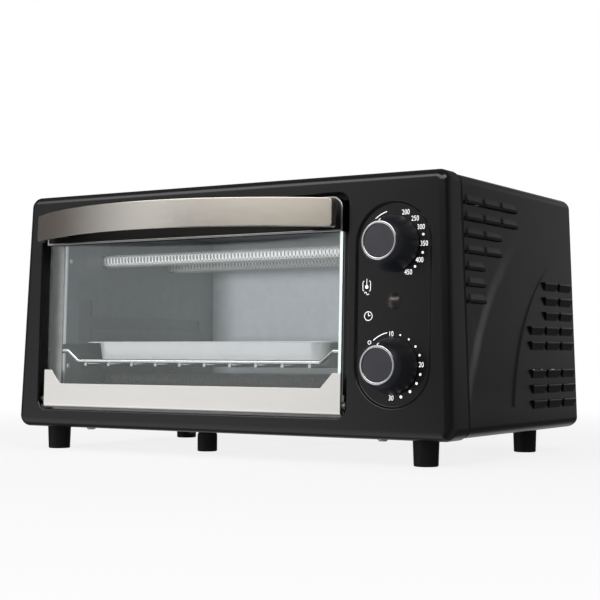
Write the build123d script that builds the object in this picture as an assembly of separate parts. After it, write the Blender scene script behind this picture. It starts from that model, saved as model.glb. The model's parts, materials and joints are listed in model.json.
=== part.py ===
from build123d import *
import math
import os

# Countertop toaster oven. Millimetres, +Z up, the face looks along -Y.
# Pieces are drawn with Z = 0 at the body's lower edge and Y = 0 at the face's lower edge,
# and are moved at the end so that the origin lies on the table under the middle of the oven.

# Body
BASE_WIDTH = 360.0        # across both sides at the lower edge
BODY_HEIGHT = 170.8       # lower edge to top, feet not counted
BODY_DEPTH = 214.0        # face to back at the lower edge
SIDE_LEAN = 2.1           # degrees that each side leans inwards
FACE_TILT = 1.7           # degrees that the face leans back
BODY_CORNER = 8.0         # corner radius seen from the front
REAR_CORNER = 8.0         # rear corner radius seen from the side
FIT = 0.15                # gap between fixed pieces that slip into each other
RUN = 0.05                # radial gap of a pin or shaft in its bearing
CLEAR = 0.3               # least gap between a moving piece and its seat

# Front frame
FRAME_WALL = 2.0
FRAME_DEPTH = 24.0
FACE_ROLL = 6.0
SEAM = 0.6                # shadow line between frame and shell
TONGUE_REACH = 5.0
TONGUE_WALL = 1.4
TONGUE_FOOT = 12.0        # the tongue stops this high, above the base plate
OPENING_MARGIN = 20.2     # body side to door opening, on the left
CONTROL_STRIP = 76.6      # door opening to body side, on the right
OPENING_FOOT = 13.0
OPENING_HEAD = 11.8
OPENING_CORNER = 7.5
OPENING_ROLL = 1.2        # rounding of the opening's front edge
JAMB_WALL = 1.5
FLANGE_SETBACK = 11.5     # face to the cavity's front flange
RECESS_WIDTH = 54.5
RECESS_FOOT = 19.6
RECESS_HEAD = 19.0
RECESS_DEPTH = 1.4
RECESS_WALL = 1.6         # panel left behind the recess's floor
RECESS_SLOPE = 45.0
CONTROL_INSET = 43.5      # body side to the knobs' axes

# Outer shell, base plate and rear panel
SHELL_SHEET = 1.0
SHELL_LIP = 16.0
LOUVRE_WIDTH = 24.6
LOUVRE_HEIGHT = 6.0
LOUVRE_LIFT = 2.4
LOUVRE_TAPER = 2.2
LOUVRE_SHEET = 0.8
LOUVRE_ROUND = 1.0
LOUVRE_COLUMN = 27.9
LOUVRE_ROW = 10.6
FRONT_ROW_COUNTS = (3, 3, 2, 2, 1, 1, 1)
FRONT_ROWS_DROP = 20.3    # top edge to the first slit
FRONT_ROWS_SETBACK = 7.0  # shell edge to the first column
REAR_ROW_COUNTS = (2, 2, 2, 3, 3)
REAR_ROWS_HEIGHT = 105.9
LOWER_ROW_COUNTS = (3, 3, 3)
LOWER_ROWS_HEIGHT = 43.9
REAR_ROWS_INSET = 4.8     # back edge to the last column
SWEEP_DEPTH = 1.2
SWEEP_SAG = 17.0
SWEEP_FADE = 70.0         # the field grows this far from its upper end to its full depth
SWEEP_FADE_START = 5.0
SWEEP_FRONT_FOOT = (7.0, 23.0)      # behind the frame, above the lower edge
SWEEP_FRONT_TIP = (70.0, 29.5)      # ahead of the back, below the top
SWEEP_REAR_TIP = (33.0, 47.5)
SWEEP_REAR_FOOT = (115.0, 18.3)     # ahead of the back, above the lower edge
BASE_SHEET = 1.0
BASE_FRONT = 12.0
REAR_SHEET = 1.0
REAR_FLANGE = 8.0
REAR_SETBACK = 1.0
VENT_WIDTH = 3.0
VENT_LENGTH = 24.0
VENT_PITCH = 8.0
VENT_COUNT = 7
VENT_ROWS = (52.0, 92.0)   # heights of the rows' middles
REAR_SCREW_SIDE = 24.0    # body side to the upper corner screws
REAR_SCREW_DROP = 24.0
REAR_SCREW_FOOT_SIDE = 20.0
REAR_SCREW_FOOT = 14.0
REAR_SCREW_MIDDLE = 120.0  # body side to the screws along the top
REAR_SCREW_MIDDLE_DROP = 16.0
BUSHING_INSET = 34.0      # body side to the lead bushing's axis
BUSHING_HEIGHT = 26.0
BUSHING_RADIUS = 6.0
BUSHING_BORE = 3.6
BUSHING_RIM = 3.0
BUSHING_LENGTH = 4.0

# Cavity
CAVITY_SHEET = 1.0
CAVITY_LEDGE = 14.1       # door opening to cavity wall, on each side
CAVITY_HEAD = 9.0         # door opening to cavity roof
CAVITY_SILL = 13.0        # door opening to the lower edge of the cavity's mouth
CAVITY_BACK_GAP = 10.0    # back of the body to the outside of the cavity
FLANGE_SHEET = 1.0
FLANGE_LAP = 3.0          # flange edge behind the frame's jamb
WALL_LIP = 9.0
GROOVE_DEPTH = 2.4
GROOVE_HEIGHT = 6.8
GUIDE_DEPTH = 1.2
GUIDE_BAR_FOOT = 72.4
GUIDE_BAR_HEIGHT = 9.6
GUIDE_LEG_FOOT = 63.5
GUIDE_LEG_HEIGHT = 31.0
GUIDE_LEG_WIDTH = 16.0
GUIDE_FRONT = 29.0
GUIDE_REAR_GAP = 20.0
RIVET_RADIUS = 1.8
RIVET_HEAD = 0.9
RIVET_SETBACK = 4.0
RIVET_HEIGHTS = (44.7, 123.1)

# Heaters
HEATER_FRONT = 60.0
HEATER_SPACING = 85.0
UPPER_HEATER_DROP = 25.0  # cavity roof to tube axis
LOWER_HEATER_RISE = 31.0  # base plate to tube axis
TUBE_RADIUS = 4.75
TUBE_WALL = 1.0
COIL_RADIUS = 2.6
COIL_WIRE = 1.0
COIL_TURNS = 25
COIL_LEAD = 3.0
CAP_LENGTH = 12.0
CAP_END = 3.0
CAP_RADIUS = 6.8
CAP_FLANGE = 3.0
CAP_FLANGE_RADIUS = 9.0
LEAD_WIRE = 1.2           # radius of the insulated leads
LEAD_BEND = 6.0
LEAD_BOW = 4.0            # how far a jumper stands off the caps

# Door
DOOR_GAP_LEFT = 5.5       # door to opening
DOOR_GAP_RIGHT = 4.0
DOOR_FOOT_GAP = 1.6
DOOR_HEAD_GAP = 2.0
RAIL_SHEET = 0.8
GLASS_THICK = 4.2
GLASS_SIDE = 1.0          # rail end to glass edge
HINGE_RISE = 5.9          # door's lower edge to the hinge axis
HINGE_SETBACK = 4.4       # door's front to the hinge axis
PIN_RADIUS = 1.6
PIN_ROOT = 12.0
COLLAR_RADIUS = 2.9
COLLAR_LENGTH = 2.6
BRACKET_SHEET = 2.0
BRACKET_HEIGHT = 16.0
BOTTOM_RAIL_HEIGHT = 17.4
BOTTOM_RAIL_BACK = 13.4
BOTTOM_RAIL_ROLL = 2.6
TAB_HEIGHT = 10.0
TAB_TOP = 6.2
TAB_FOOT = 15.4
TOP_RAIL_HEIGHT = 23.0
TOP_RAIL_CORNER = 8.0
BEAD_WIDTH = 1.4          # raised bead round the top rail's front
BEAD_PROUD = 0.8
BEAD_ROUND = 0.35
GLASS_TUCK = 5.0
HANDLE_END = 12.0         # door face to the strip at its ends
HANDLE_BOW = 39.0
HANDLE_SHEET = 2.2
HANDLE_HEIGHT = 19.0
HANDLE_DROP = 2.5         # door's top edge to the strip's top edge
HANDLE_RETURN = 6.0
HANDLE_CORNER = 2.5
POST_INSET = 18.0
POST_WIDTH = 12.0
POST_HEIGHT = 12.0
SCREW_RADIUS = 1.8
SCREW_HEAD = 3.4
SCREW_HEAD_THICK = 1.8
SCREW_BITE = 6.0

# Wire rack and baking tray
RACK_HEIGHT = 48.5        # axis of the cross wires
RACK_FRONT = 14.8
RACK_BACK_GAP = 13.0
RACK_FLAT_INSET = 13.0    # cavity wall to the end of the flat stretch
RACK_RISE = 7.6
RACK_RISE_RUN = 10.0
CROSS_WIRE = 1.6
BAR_WIRE = 1.3
BAR_COUNT = 10
BAR_INSET = 7.75          # end of the flat stretch to the outermost bars
WELD = 0.5                # how far welded wires sink into each other
TRAY_SIDE_GAP = 19.25     # cavity wall to the edge of the tray's floor, on each side
TRAY_FRONT_GAP = 13.2     # rack's front wire to the edge of the tray's floor
TRAY_REAR_GAP = 10.0
TRAY_HEIGHT = 15.0
TRAY_RIM = 9.0
TRAY_SHEET = 0.8
TRAY_FLARE = 8.0          # degrees
TRAY_CORNER = 10.0
TRAY_SHIFT = 0.25         # the tray lies a little right of centre

# Controls
KNOB_RADIUS = 18.0
KNOB_TIP_RADIUS = 13.6
KNOB_REACH = 19.0
KNOB_SKIRT = 2.4
KNOB_CROWN = 5.0
KNOB_GAP = 0.5
RING_RADIUS = 12.3
RING_WIDTH = 1.5
RING_DEPTH = 1.6
RING_PROUD = 0.4
INLAY_THICK = 0.8
SHAFT_RADIUS = 3.0
SHAFT_TAIL = 9.0
SHAFT_TIP_GAP = 5.0
SHAFT_HOLE = 4.5
PLATE_SHEET = 1.2
PLATE_SIDE = 1.5          # carrier plate beyond the recess, on each side
PLATE_MARGIN = 6.0        # and at its ends
THERMOSTAT_SIZE = (34.0, 24.0, 28.0)
BLADE_WIDTH = 6.0
BLADE_SHEET = 1.0
BLADE_REACH = 9.0
ROOT = 1.0                # how far a post or blade is sunk in its block
TIMER_RADIUS = 23.0
TIMER_DEPTH = 30.0
TIMER_BLADE_RISE = 20.0   # timer axis to its contact blades
BELL_RADIUS = 17.0
BELL_DEPTH = 8.0
BELL_SHEET = 0.8
BELL_POST = 2.5
LAMP_RISE = 2.0           # lamp axis above the middle of the recess
LENS_RADIUS = 5.4
LENS_DOME = 3.2
LENS_STEM = 4.0
LENS_STEM_LENGTH = 4.0
HOLDER_RADIUS = 5.6
HOLDER_LENGTH = 20.0

# Feet and crumb door
FOOT_HEIGHT = 16.5
FOOT_TOP = 8.5
FOOT_BOTTOM = 7.9
FOOT_EDGE = 0.8
FOOT_WELL = 4.0
FOOT_WEB = 4.0
FOOT_INSET = 27.0         # body side to the foot's axis
FRONT_FOOT_SETBACK = 17.0
REAR_FOOT_INSET = 38.0
FRAME_SCREW_INSET = 58.0
FRAME_SCREW_SETBACK = 17.0
CRUMB_SIDE_GAP = 32.5     # cavity wall to the crumb opening, on each side
CRUMB_FRONT = 46.0
CRUMB_REAR_GAP = 28.0     # crumb opening to the back of the body
CRUMB_LAP = 6.0
CRUMB_SHEET = 1.0
CRUMB_FRONT_GAP = 1.0
CRUMB_KNUCKLE = 2.2
CRUMB_PIN = 1.5
CRUMB_EAR = 1.6
CRUMB_EAR_WIDTH = 9.0
CRUMB_EAR_DROP = 5.5
PULL_RADIUS = 7.0
PULL_NECK = 5.4
PULL_HEIGHT = 15.6
PULL_SHOULDER = 4.0
PULL_SETBACK = 7.6
STUD_RADIUS = 5.2
STUD_DROP = 3.4
STUD_SIDE = 13.2          # pull's axis to the stud's

# Values worked out from the sizes above
lean = math.radians(SIDE_LEAN)
REACH = 2 * (BASE_WIDTH + BODY_DEPTH)
FRONT = Rot(-FACE_TILT, 0, 0)
inward = (FRONT * Pos(0, 1, 0)).position    # square to the tilted face
shell_inset = FRAME_WALL - SHELL_SHEET
opening_left = -BASE_WIDTH / 2 + OPENING_MARGIN
opening_right = BASE_WIDTH / 2 - CONTROL_STRIP
opening_top = BODY_HEIGHT - OPENING_HEAD
middle_x = (opening_left + opening_right) / 2
control_x = BASE_WIDTH / 2 - CONTROL_INSET
recess_top = BODY_HEIGHT - RECESS_HEAD
timer_z = RECESS_FOOT + RECESS_WIDTH / 2
temperature_z = recess_top - RECESS_WIDTH / 2
lamp_z = (RECESS_FOOT + recess_top) / 2 + LAMP_RISE
base_top = FRAME_WALL + BASE_SHEET
cavity_left = opening_left + CAVITY_LEDGE
cavity_right = opening_right - CAVITY_LEDGE
cavity_top = opening_top - CAVITY_HEAD
cavity_sill = OPENING_FOOT + CAVITY_SILL
cavity_back = BODY_DEPTH - CAVITY_BACK_GAP - CAVITY_SHEET
wall_front = FLANGE_SETBACK + FLANGE_SHEET
rear_face = BODY_DEPTH - REAR_SETBACK
tip_z = RACK_HEIGHT + RACK_RISE
groove_foot = tip_z - CROSS_WIRE - CLEAR
door_left = opening_left + DOOR_GAP_LEFT
door_right = opening_right - DOOR_GAP_RIGHT
door_bottom = OPENING_FOOT + DOOR_FOOT_GAP
door_top = opening_top - DOOR_HEAD_GAP
door_thick = GLASS_THICK + 2 * RAIL_SHEET
hinge_y = HINGE_SETBACK
hinge_z = door_bottom + HINGE_RISE
top_rail_foot = door_top - TOP_RAIL_HEIGHT
handle_top = door_top - HANDLE_DROP
handle_middle = handle_top - HANDLE_HEIGHT / 2
handle_half = middle_x - door_left
handle_radius = (handle_half ** 2 + HANDLE_BOW ** 2) / (2 * HANDLE_BOW)
handle_centre_y = handle_radius - HANDLE_END - HANDLE_BOW
handle_right = middle_x + handle_half
post_xs = (door_left + POST_INSET, handle_right - POST_INSET)
bar_z = RACK_HEIGHT - CROSS_WIRE - BAR_WIRE + WELD
tray_floor = bar_z + BAR_WIRE + CLEAR
rack_rear = cavity_back - RACK_BACK_GAP
tray_width = cavity_right - cavity_left - 2 * TRAY_SIDE_GAP
tray_front = RACK_FRONT + TRAY_FRONT_GAP
tray_depth = rack_rear - TRAY_REAR_GAP - tray_front
panel_back = RECESS_DEPTH + RECESS_WALL
plate_back = panel_back + PLATE_SHEET
crumb_top = FRAME_WALL - CLEAR
crumb_half = (cavity_right - cavity_left) / 2 - CRUMB_SIDE_GAP
crumb_back = BODY_DEPTH - CRUMB_REAR_GAP
crumb_front = FRAME_DEPTH + CRUMB_FRONT_GAP
crumb_hinge_y = crumb_back + CRUMB_EAR_WIDTH / 2
crumb_hinge_z = crumb_top - CRUMB_KNUCKLE
tube_left = cavity_left - CAVITY_SHEET - CAP_LENGTH + CAP_END
tube_right = cavity_right + CAVITY_SHEET + CAP_LENGTH - CAP_END
caps_left = cavity_left - CAVITY_SHEET - CAP_LENGTH
caps_right = cavity_right + CAVITY_SHEET + CAP_LENGTH
lower_heater_z = base_top + LOWER_HEATER_RISE
upper_heater_z = cavity_top - UPPER_HEATER_DROP
foot_x = BASE_WIDTH / 2 - FOOT_INSET
rear_foot_y = BODY_DEPTH - REAR_FOOT_INSET
heater_places = {
    "upper_front": (HEATER_FRONT, upper_heater_z),
    "upper_rear": (HEATER_FRONT + HEATER_SPACING, upper_heater_z),
    "lower_front": (HEATER_FRONT, lower_heater_z),
    "lower_rear": (HEATER_FRONT + HEATER_SPACING, lower_heater_z),
}
foot_places = {
    "front_left": (-foot_x, FRONT_FOOT_SETBACK, 0.0),
    "front_right": (foot_x, FRONT_FOOT_SETBACK, 0.0),
    "rear_left": (-foot_x, rear_foot_y, FRAME_WALL),
    "rear_right": (foot_x, rear_foot_y, FRAME_WALL),
}
rear_screw_places = [
    (side * x, z)
    for side in (-1, 1)
    for x, z in (
        (BASE_WIDTH / 2 - REAR_SCREW_SIDE, BODY_HEIGHT - REAR_SCREW_DROP),
        (BASE_WIDTH / 2 - REAR_SCREW_FOOT_SIDE, REAR_SCREW_FOOT),
        (BASE_WIDTH / 2 - REAR_SCREW_MIDDLE, BODY_HEIGHT - REAR_SCREW_MIDDLE_DROP),
    )
]


# Ways to carry an outline into space
def deepen(outline, near, far):
    """Carry a front-view outline (X across, Z up) from depth near back to depth far."""
    return extrude(Plane((0, far, 0), (1, 0, 0), (0, -1, 0)) * outline, amount=far - near)


def span(outline, left, right):
    """Carry a side-view outline (Y across, Z up) from X = left to X = right."""
    return extrude(Plane((left, 0, 0), (0, 1, 0), (1, 0, 0)) * outline, amount=right - left)


def lift(outline, low, high):
    """Carry a plan outline (X across, Y back) from Z = low to Z = high."""
    return extrude(Pos(0, 0, low) * outline, amount=high - low)


def panel(left, right, low, high, corner=0.0):
    """A rectangle given by its edges, with round corners if a radius is given."""
    width, height = right - left, high - low
    shape = RectangleRounded(width, height, corner) if corner else Rectangle(width, height)
    return Pos((left + right) / 2, (low + high) / 2) * shape


def disc(across, up, radius):
    """A circle about a point of the outline's plane."""
    return Pos(across, up) * Circle(radius)


def crossbar(depth, height, radius, left, right):
    """A round bar along X."""
    return span(disc(depth, height, radius), left, right)


def ahead_of(depth):
    """Everything in front of a plane that lies depth behind the tilted face."""
    return FRONT * Pos(0, depth - REACH / 2, 0) * Box(REACH, REACH, REACH)


def half_width(height, inset):
    """Half the body's width at a height, inset millimetres inside the leaning side."""
    return BASE_WIDTH / 2 - height * math.tan(lean) - inset / math.cos(lean)


def body_outline(inset):
    """The body's front view, inset all round."""
    low, high = inset, BODY_HEIGHT - inset
    wide, narrow = half_width(low, inset), half_width(high, inset)
    outline = Polygon((-wide, low), (wide, low), (narrow, high), (-narrow, high), align=None)
    return fillet(outline.vertices(), BODY_CORNER - inset)


def side_outline(back, low, high, corner):
    """The body's side view from the face to a back edge with round corners."""
    outline = panel(0, back, low, high)
    return fillet(outline.vertices().group_by(Axis.X)[-1], corner)


def opening_outline(grow):
    """The door opening, grown all round."""
    return panel(opening_left - grow, opening_right + grow, OPENING_FOOT - grow, opening_top + grow,
                 OPENING_CORNER + grow)


def pan_screw(length):
    """A round-headed screw that points along +Z, head below Z = 0."""
    head = Pos(0, 0, -SCREW_HEAD_THICK) * Cylinder(SCREW_HEAD, SCREW_HEAD_THICK, align=STAND)
    head = chamfer(head.faces().sort_by(Axis.Z)[0].edges(), SCREW_HEAD_THICK / 2)
    return head + Cylinder(SCREW_RADIUS, length, align=STAND)


STAND = (Align.CENTER, Align.CENTER, Align.MIN)


# Front frame
def make_front_frame():
    block = deepen(body_outline(0), -FRAME_DEPTH, FRAME_DEPTH) - ahead_of(0)
    block = fillet(block.faces().sort_by(Axis.Y)[0].outer_wire().edges(), FACE_ROLL)
    hollow = deepen(body_outline(FRAME_WALL), -FRAME_DEPTH, 2 * FRAME_DEPTH) - ahead_of(FRAME_WALL)
    jamb = deepen(opening_outline(JAMB_WALL) - opening_outline(0), FRAME_WALL / 2, FLANGE_SETBACK)
    frame = block - hollow + FRONT * jamb + make_tongue()
    frame -= FRONT * deepen(opening_outline(0), -FRAME_DEPTH, FRAME_WALL)
    skin = frame.faces().filter_by(GeomType.PLANE).sort_by(Axis((0, 0, 0), inward))[0]
    frame = fillet(skin.inner_wires()[0].edges(), OPENING_ROLL)
    frame += FRONT * deepen(recess_outline(RECESS_WALL), FRAME_WALL / 2, panel_back)
    frame -= FRONT * make_recess()
    for height in (timer_z, temperature_z):
        frame -= FRONT * deepen(disc(control_x, height, SHAFT_HOLE), 0, 2 * panel_back)
    frame -= FRONT * deepen(disc(control_x, lamp_z, LENS_STEM + FIT), 0, 2 * panel_back)
    pins = crossbar(hinge_y, hinge_z, PIN_RADIUS + CLEAR, opening_left - 2 * JAMB_WALL,
                    opening_right + 2 * JAMB_WALL)
    frame -= FRONT * pins
    for x, y in front_screw_places():
        frame -= lift(disc(x, y, SCREW_RADIUS + FIT), -FRAME_WALL, 2 * FRAME_WALL)
    return frame


def make_tongue():
    """The rim inside the frame's back edge, which the shell slips over."""
    root = body_outline(FRAME_WALL / 2) - body_outline(FRAME_WALL + TONGUE_WALL)
    rim = body_outline(FRAME_WALL + FIT) - body_outline(FRAME_WALL + TONGUE_WALL)
    tongue = deepen(root, FRAME_DEPTH - TONGUE_REACH, FRAME_DEPTH)
    tongue += deepen(rim, FRAME_DEPTH, FRAME_DEPTH + TONGUE_REACH)
    return tongue - deepen(panel(-REACH, REACH, -REACH, TONGUE_FOOT), 0, REACH)


def recess_outline(grow):
    """The round-ended outline of the recess behind the knobs, grown all round."""
    track = SlotOverall(recess_top - RECESS_FOOT + 2 * grow, RECESS_WIDTH + 2 * grow, rotation=90)
    return Pos(control_x, (RECESS_FOOT + recess_top) / 2) * track


def make_recess():
    """The shallow recess behind the knobs, with a sloping edge."""
    into_face = Plane((0, 0, 0), (1, 0, 0), (0, -1, 0))
    return extrude(into_face * recess_outline(0), amount=-RECESS_DEPTH, taper=RECESS_SLOPE)


def front_screw_places():
    """Plan places of the screws that go up into the frame's underside."""
    feet = [(x, y) for x, y, seat in foot_places.values() if seat == 0.0]
    frame = [(side * (BASE_WIDTH / 2 - FRAME_SCREW_INSET), FRAME_SCREW_SETBACK) for side in (-1, 1)]
    return feet + frame


# Outer shell with its louvres and embossed sweep
def make_outer_shell():
    wrap = deepen(body_outline(shell_inset) - body_outline(FRAME_WALL), FRAME_DEPTH + SEAM, BODY_DEPTH)
    wrap &= span(side_outline(BODY_DEPTH, 0, BODY_HEIGHT, REAR_CORNER), -REACH, REACH)
    belly = half_width(0, shell_inset) - SHELL_LIP
    wrap -= deepen(panel(-belly, belly, -FRAME_WALL, BODY_CORNER), 0, REACH)
    sweep_outside, sweep_inside = make_sweep()
    hoods, slits = make_louvres()
    right = [sweep_inside] + hoods
    wrap = wrap + right + [mirror(piece, about=Plane.YZ) for piece in right]
    cuts = [sweep_outside] + slits
    return wrap - cuts - [mirror(piece, about=Plane.YZ) for piece in cuts]


def on_side(back, up):
    """A place on the right side: local X runs back, local Y up the side, local Z out of it."""
    side = Plane((half_width(0, shell_inset), 0, 0), (0, 1, 0), (math.cos(lean), 0, math.sin(lean)))
    return side.location * Pos(back, up, 0)


def louvre_places():
    """Back, up and turn of every louvre on one side."""
    first = FRAME_DEPTH + FRONT_ROWS_SETBACK
    last = BODY_DEPTH - REAR_ROWS_INSET
    places = []
    for row, columns in enumerate(FRONT_ROW_COUNTS):
        for column in range(columns):
            up = BODY_HEIGHT - FRONT_ROWS_DROP - row * LOUVRE_ROW
            places.append((first + column * LOUVRE_COLUMN, up, False))
    for rows, height in ((REAR_ROW_COUNTS, REAR_ROWS_HEIGHT), (LOWER_ROW_COUNTS, LOWER_ROWS_HEIGHT)):
        for row, columns in enumerate(rows):
            for column in range(columns):
                places.append((last - column * LOUVRE_COLUMN, height - row * LOUVRE_ROW, True))
    return places


def make_louvres():
    """Wedge-shaped hoods and the slits under them; the rear ones open upwards."""
    root = SHELL_SHEET / 2
    skin = LOUVRE_SHEET
    hood = Pos(0, 0, -root) * Wedge(
        LOUVRE_WIDTH, LOUVRE_HEIGHT, LOUVRE_LIFT + root, LOUVRE_TAPER, 0,
        LOUVRE_WIDTH - LOUVRE_TAPER, 2 * root, align=None)
    hood = fillet(hood.edges().group_by(Axis.Z)[-1], LOUVRE_ROUND)
    through = 2 * SHELL_SHEET
    slit_width, slit_height = LOUVRE_WIDTH - 2 * skin, LOUVRE_HEIGHT - 2 * skin
    slit = Pos(skin, 0, -through) * Wedge(
        slit_width, slit_height, through + LOUVRE_LIFT - skin, LOUVRE_TAPER, 0,
        slit_width - LOUVRE_TAPER, through - root / 2, align=None)
    hoods, slits = [], []
    for back, up, upturned in louvre_places():
        place = on_side(back, up) * Rot(0, 0, 180 if upturned else 0)
        hoods.append(place * hood)
        slits.append(place * slit)
    return hoods, slits


def make_sweep():
    """The curved field pressed into the side: the hollow outside and the bulge it leaves inside."""
    front_foot = (FRAME_DEPTH + SWEEP_FRONT_FOOT[0], SWEEP_FRONT_FOOT[1])
    front_tip = (BODY_DEPTH - SWEEP_FRONT_TIP[0], BODY_HEIGHT - SWEEP_FRONT_TIP[1])
    rear_tip = (BODY_DEPTH - SWEEP_REAR_TIP[0], BODY_HEIGHT - SWEEP_REAR_TIP[1])
    rear_foot = (BODY_DEPTH - SWEEP_REAR_FOOT[0], SWEEP_REAR_FOOT[1])
    edges = [
        SagittaArc(front_foot, front_tip, SWEEP_SAG),
        Line(front_tip, rear_tip),
        SagittaArc(rear_tip, rear_foot, -SWEEP_SAG),
        Line(rear_foot, front_foot),
    ]
    field = make_face(edges)
    side = on_side(0, 0)
    hollow = extrude(field, amount=-SWEEP_DEPTH, taper=RECESS_SLOPE)
    bulge = extrude(Pos(0, 0, -SWEEP_DEPTH - SHELL_SHEET) * offset(field, SHELL_SHEET),
                    amount=SWEEP_DEPTH + SHELL_SHEET / 2)
    along = (Vector(*rear_tip) - Vector(*front_tip)).normalized()
    inwards = Vector(along.Y, -along.X)
    start = (Vector(*rear_tip) + Vector(*front_tip)) * 0.5 + inwards * SWEEP_FADE_START
    slope = inwards * SWEEP_FADE - Vector(0, 0, SWEEP_DEPTH)
    fade = Plane(start, x_dir=along, z_dir=slope.cross(along)).location
    above = fade * Pos(0, 0, REACH / 2) * Box(REACH, REACH, REACH)
    return side * (hollow & above), side * (bulge & Pos(0, 0, -SHELL_SHEET) * above)


# Base plate, rear panel and lead bushing
def make_base_plate():
    edge = half_width(0, FRAME_WALL) - BODY_CORNER
    plate = lift(panel(-edge, edge, BASE_FRONT, BODY_DEPTH - CAVITY_BACK_GAP), FRAME_WALL, base_top)
    half = crumb_half
    plate -= lift(panel(middle_x - half, middle_x + half, CRUMB_FRONT, crumb_back), 0, 2 * base_top)
    for x, y, seat in foot_places.values():
        if seat:
            plate -= lift(disc(x, y, SCREW_RADIUS + FIT), 0, 2 * base_top)
    for x, y in front_screw_places():
        plate -= lift(disc(x, y, SCREW_RADIUS + FIT), 0, 2 * base_top)
    for index in range(VENT_COUNT):
        vent = Pos(vent_x(index), BODY_DEPTH / 2) * SlotOverall(VENT_LENGTH, VENT_WIDTH, rotation=90)
        plate -= lift(vent, 0, 2 * base_top)
    ear = panel(crumb_hinge_y - CRUMB_EAR_WIDTH / 2, crumb_hinge_y + CRUMB_EAR_WIDTH / 2,
                FRAME_WALL - CRUMB_EAR_DROP, base_top)
    ear -= disc(crumb_hinge_y, crumb_hinge_z, CRUMB_PIN + RUN)
    for inner in (middle_x - half - CRUMB_LAP - CLEAR - CRUMB_EAR, middle_x + half + CRUMB_LAP + CLEAR):
        plate += span(ear, inner, inner + CRUMB_EAR)
    return plate


def vent_x(index):
    """Across place of one of a row of vents behind the controls."""
    return control_x + (index - (VENT_COUNT - 1) / 2) * VENT_PITCH


def make_rear_panel():
    sheet = FRAME_WALL + FIT
    outside = side_outline(rear_face, sheet, BODY_HEIGHT - sheet, REAR_CORNER - REAR_SETBACK)
    inside = side_outline(rear_face - REAR_SHEET, sheet + REAR_SHEET, BODY_HEIGHT - sheet - REAR_SHEET,
                          REAR_CORNER - REAR_SETBACK - REAR_SHEET)
    back = span(outside, -REACH, REACH) - span(inside, -REACH, REACH)
    back &= deepen(body_outline(sheet), rear_face - REAR_FLANGE, BODY_DEPTH)
    for row in VENT_ROWS:
        for index in range(VENT_COUNT):
            vent = Pos(vent_x(index), row) * SlotOverall(VENT_LENGTH, VENT_WIDTH, rotation=90)
            back -= deepen(vent, rear_face - REAR_FLANGE, BODY_DEPTH)
    for x, z in rear_screw_places:
        back -= deepen(disc(x, z, SCREW_RADIUS + FIT), rear_face - REAR_FLANGE, BODY_DEPTH)
    seat = disc(bushing_x(), BUSHING_HEIGHT, BUSHING_RADIUS + FIT)
    return back - deepen(seat, rear_face - REAR_FLANGE, BODY_DEPTH)


def bushing_x():
    return BASE_WIDTH / 2 - BUSHING_INSET


def make_cord_bushing():
    """A snap-in bushing: a rim on each side of the rear panel and a clear bore."""
    middle = rear_face - REAR_SHEET
    rim = disc(bushing_x(), BUSHING_HEIGHT, BUSHING_RADIUS + BUSHING_RIM)
    body = deepen(rim, rear_face, rear_face + BUSHING_LENGTH)
    body = chamfer(body.faces().sort_by(Axis.Y)[-1].edges(), BUSHING_LENGTH / 2)
    body += deepen(disc(bushing_x(), BUSHING_HEIGHT, BUSHING_RADIUS), middle, rear_face)
    body += deepen(rim, middle - BUSHING_RIM, middle)
    return body - deepen(disc(bushing_x(), BUSHING_HEIGHT, BUSHING_BORE), 0, REACH)


def make_rear_screws():
    screw = Rot(90, 0, 0) * pan_screw(SCREW_BITE)
    return Compound(children=[Pos(x, rear_face, z) * screw for x, z in rear_screw_places])


# Cavity
def make_front_flange():
    lap = panel(opening_left - JAMB_WALL - FLANGE_LAP, opening_right + JAMB_WALL + FLANGE_LAP,
                OPENING_FOOT - JAMB_WALL - FLANGE_LAP, opening_top + JAMB_WALL + FLANGE_LAP)
    mouth = panel(cavity_left - GROOVE_DEPTH, cavity_right + GROOVE_DEPTH, cavity_sill, cavity_top)
    return FRONT * deepen(lap - mouth, FLANGE_SETBACK, wall_front)


def make_cavity_wall(inner, outward):
    """One side wall: a sheet with a front lip, the rack's groove and an embossed upper guide."""
    def sheet(near, far):
        return sorted((inner + outward * near, inner + outward * far))

    depth = panel(0, cavity_back, base_top, cavity_top)
    wall = span(depth, *sheet(0, CAVITY_SHEET))
    lip = panel(*sheet(0, WALL_LIP), cavity_sill, cavity_top)
    lip = FRONT * deepen(lip, wall_front, wall_front + CAVITY_SHEET)
    groove_end = rack_rear + 2 * CROSS_WIRE
    groove = panel(0, groove_end, groove_foot, groove_foot + GROOVE_HEIGHT)
    bead = panel(0, groove_end + CAVITY_SHEET, groove_foot - CAVITY_SHEET,
                 groove_foot + GROOVE_HEIGHT + CAVITY_SHEET)
    wall += span(bead, *sheet(0, GROOVE_DEPTH + CAVITY_SHEET)) + lip
    wall += span(make_guide(CAVITY_SHEET), *sheet(CAVITY_SHEET / 2, GUIDE_DEPTH + CAVITY_SHEET))
    wall -= span(make_guide(0), *sheet(-CAVITY_SHEET, GUIDE_DEPTH))
    wall -= span(groove, *sheet(-CAVITY_SHEET, GROOVE_DEPTH))
    for depth_y, height in heater_places.values():
        wall -= crossbar(depth_y, height, TUBE_RADIUS + 4 * FIT, *sheet(-CAVITY_SHEET, 2 * CAVITY_SHEET))
    return wall - ahead_of(wall_front)


def make_guide(grow):
    """Side view of the embossed guide for a rack set higher up."""
    bar = panel(GUIDE_FRONT - grow, cavity_back - GUIDE_REAR_GAP + grow, GUIDE_BAR_FOOT - grow,
                GUIDE_BAR_FOOT + GUIDE_BAR_HEIGHT + grow)
    leg = panel(GUIDE_FRONT - grow, GUIDE_FRONT + GUIDE_LEG_WIDTH + grow, GUIDE_LEG_FOOT - grow,
                GUIDE_LEG_FOOT + GUIDE_LEG_HEIGHT + grow)
    return bar + leg


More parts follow.
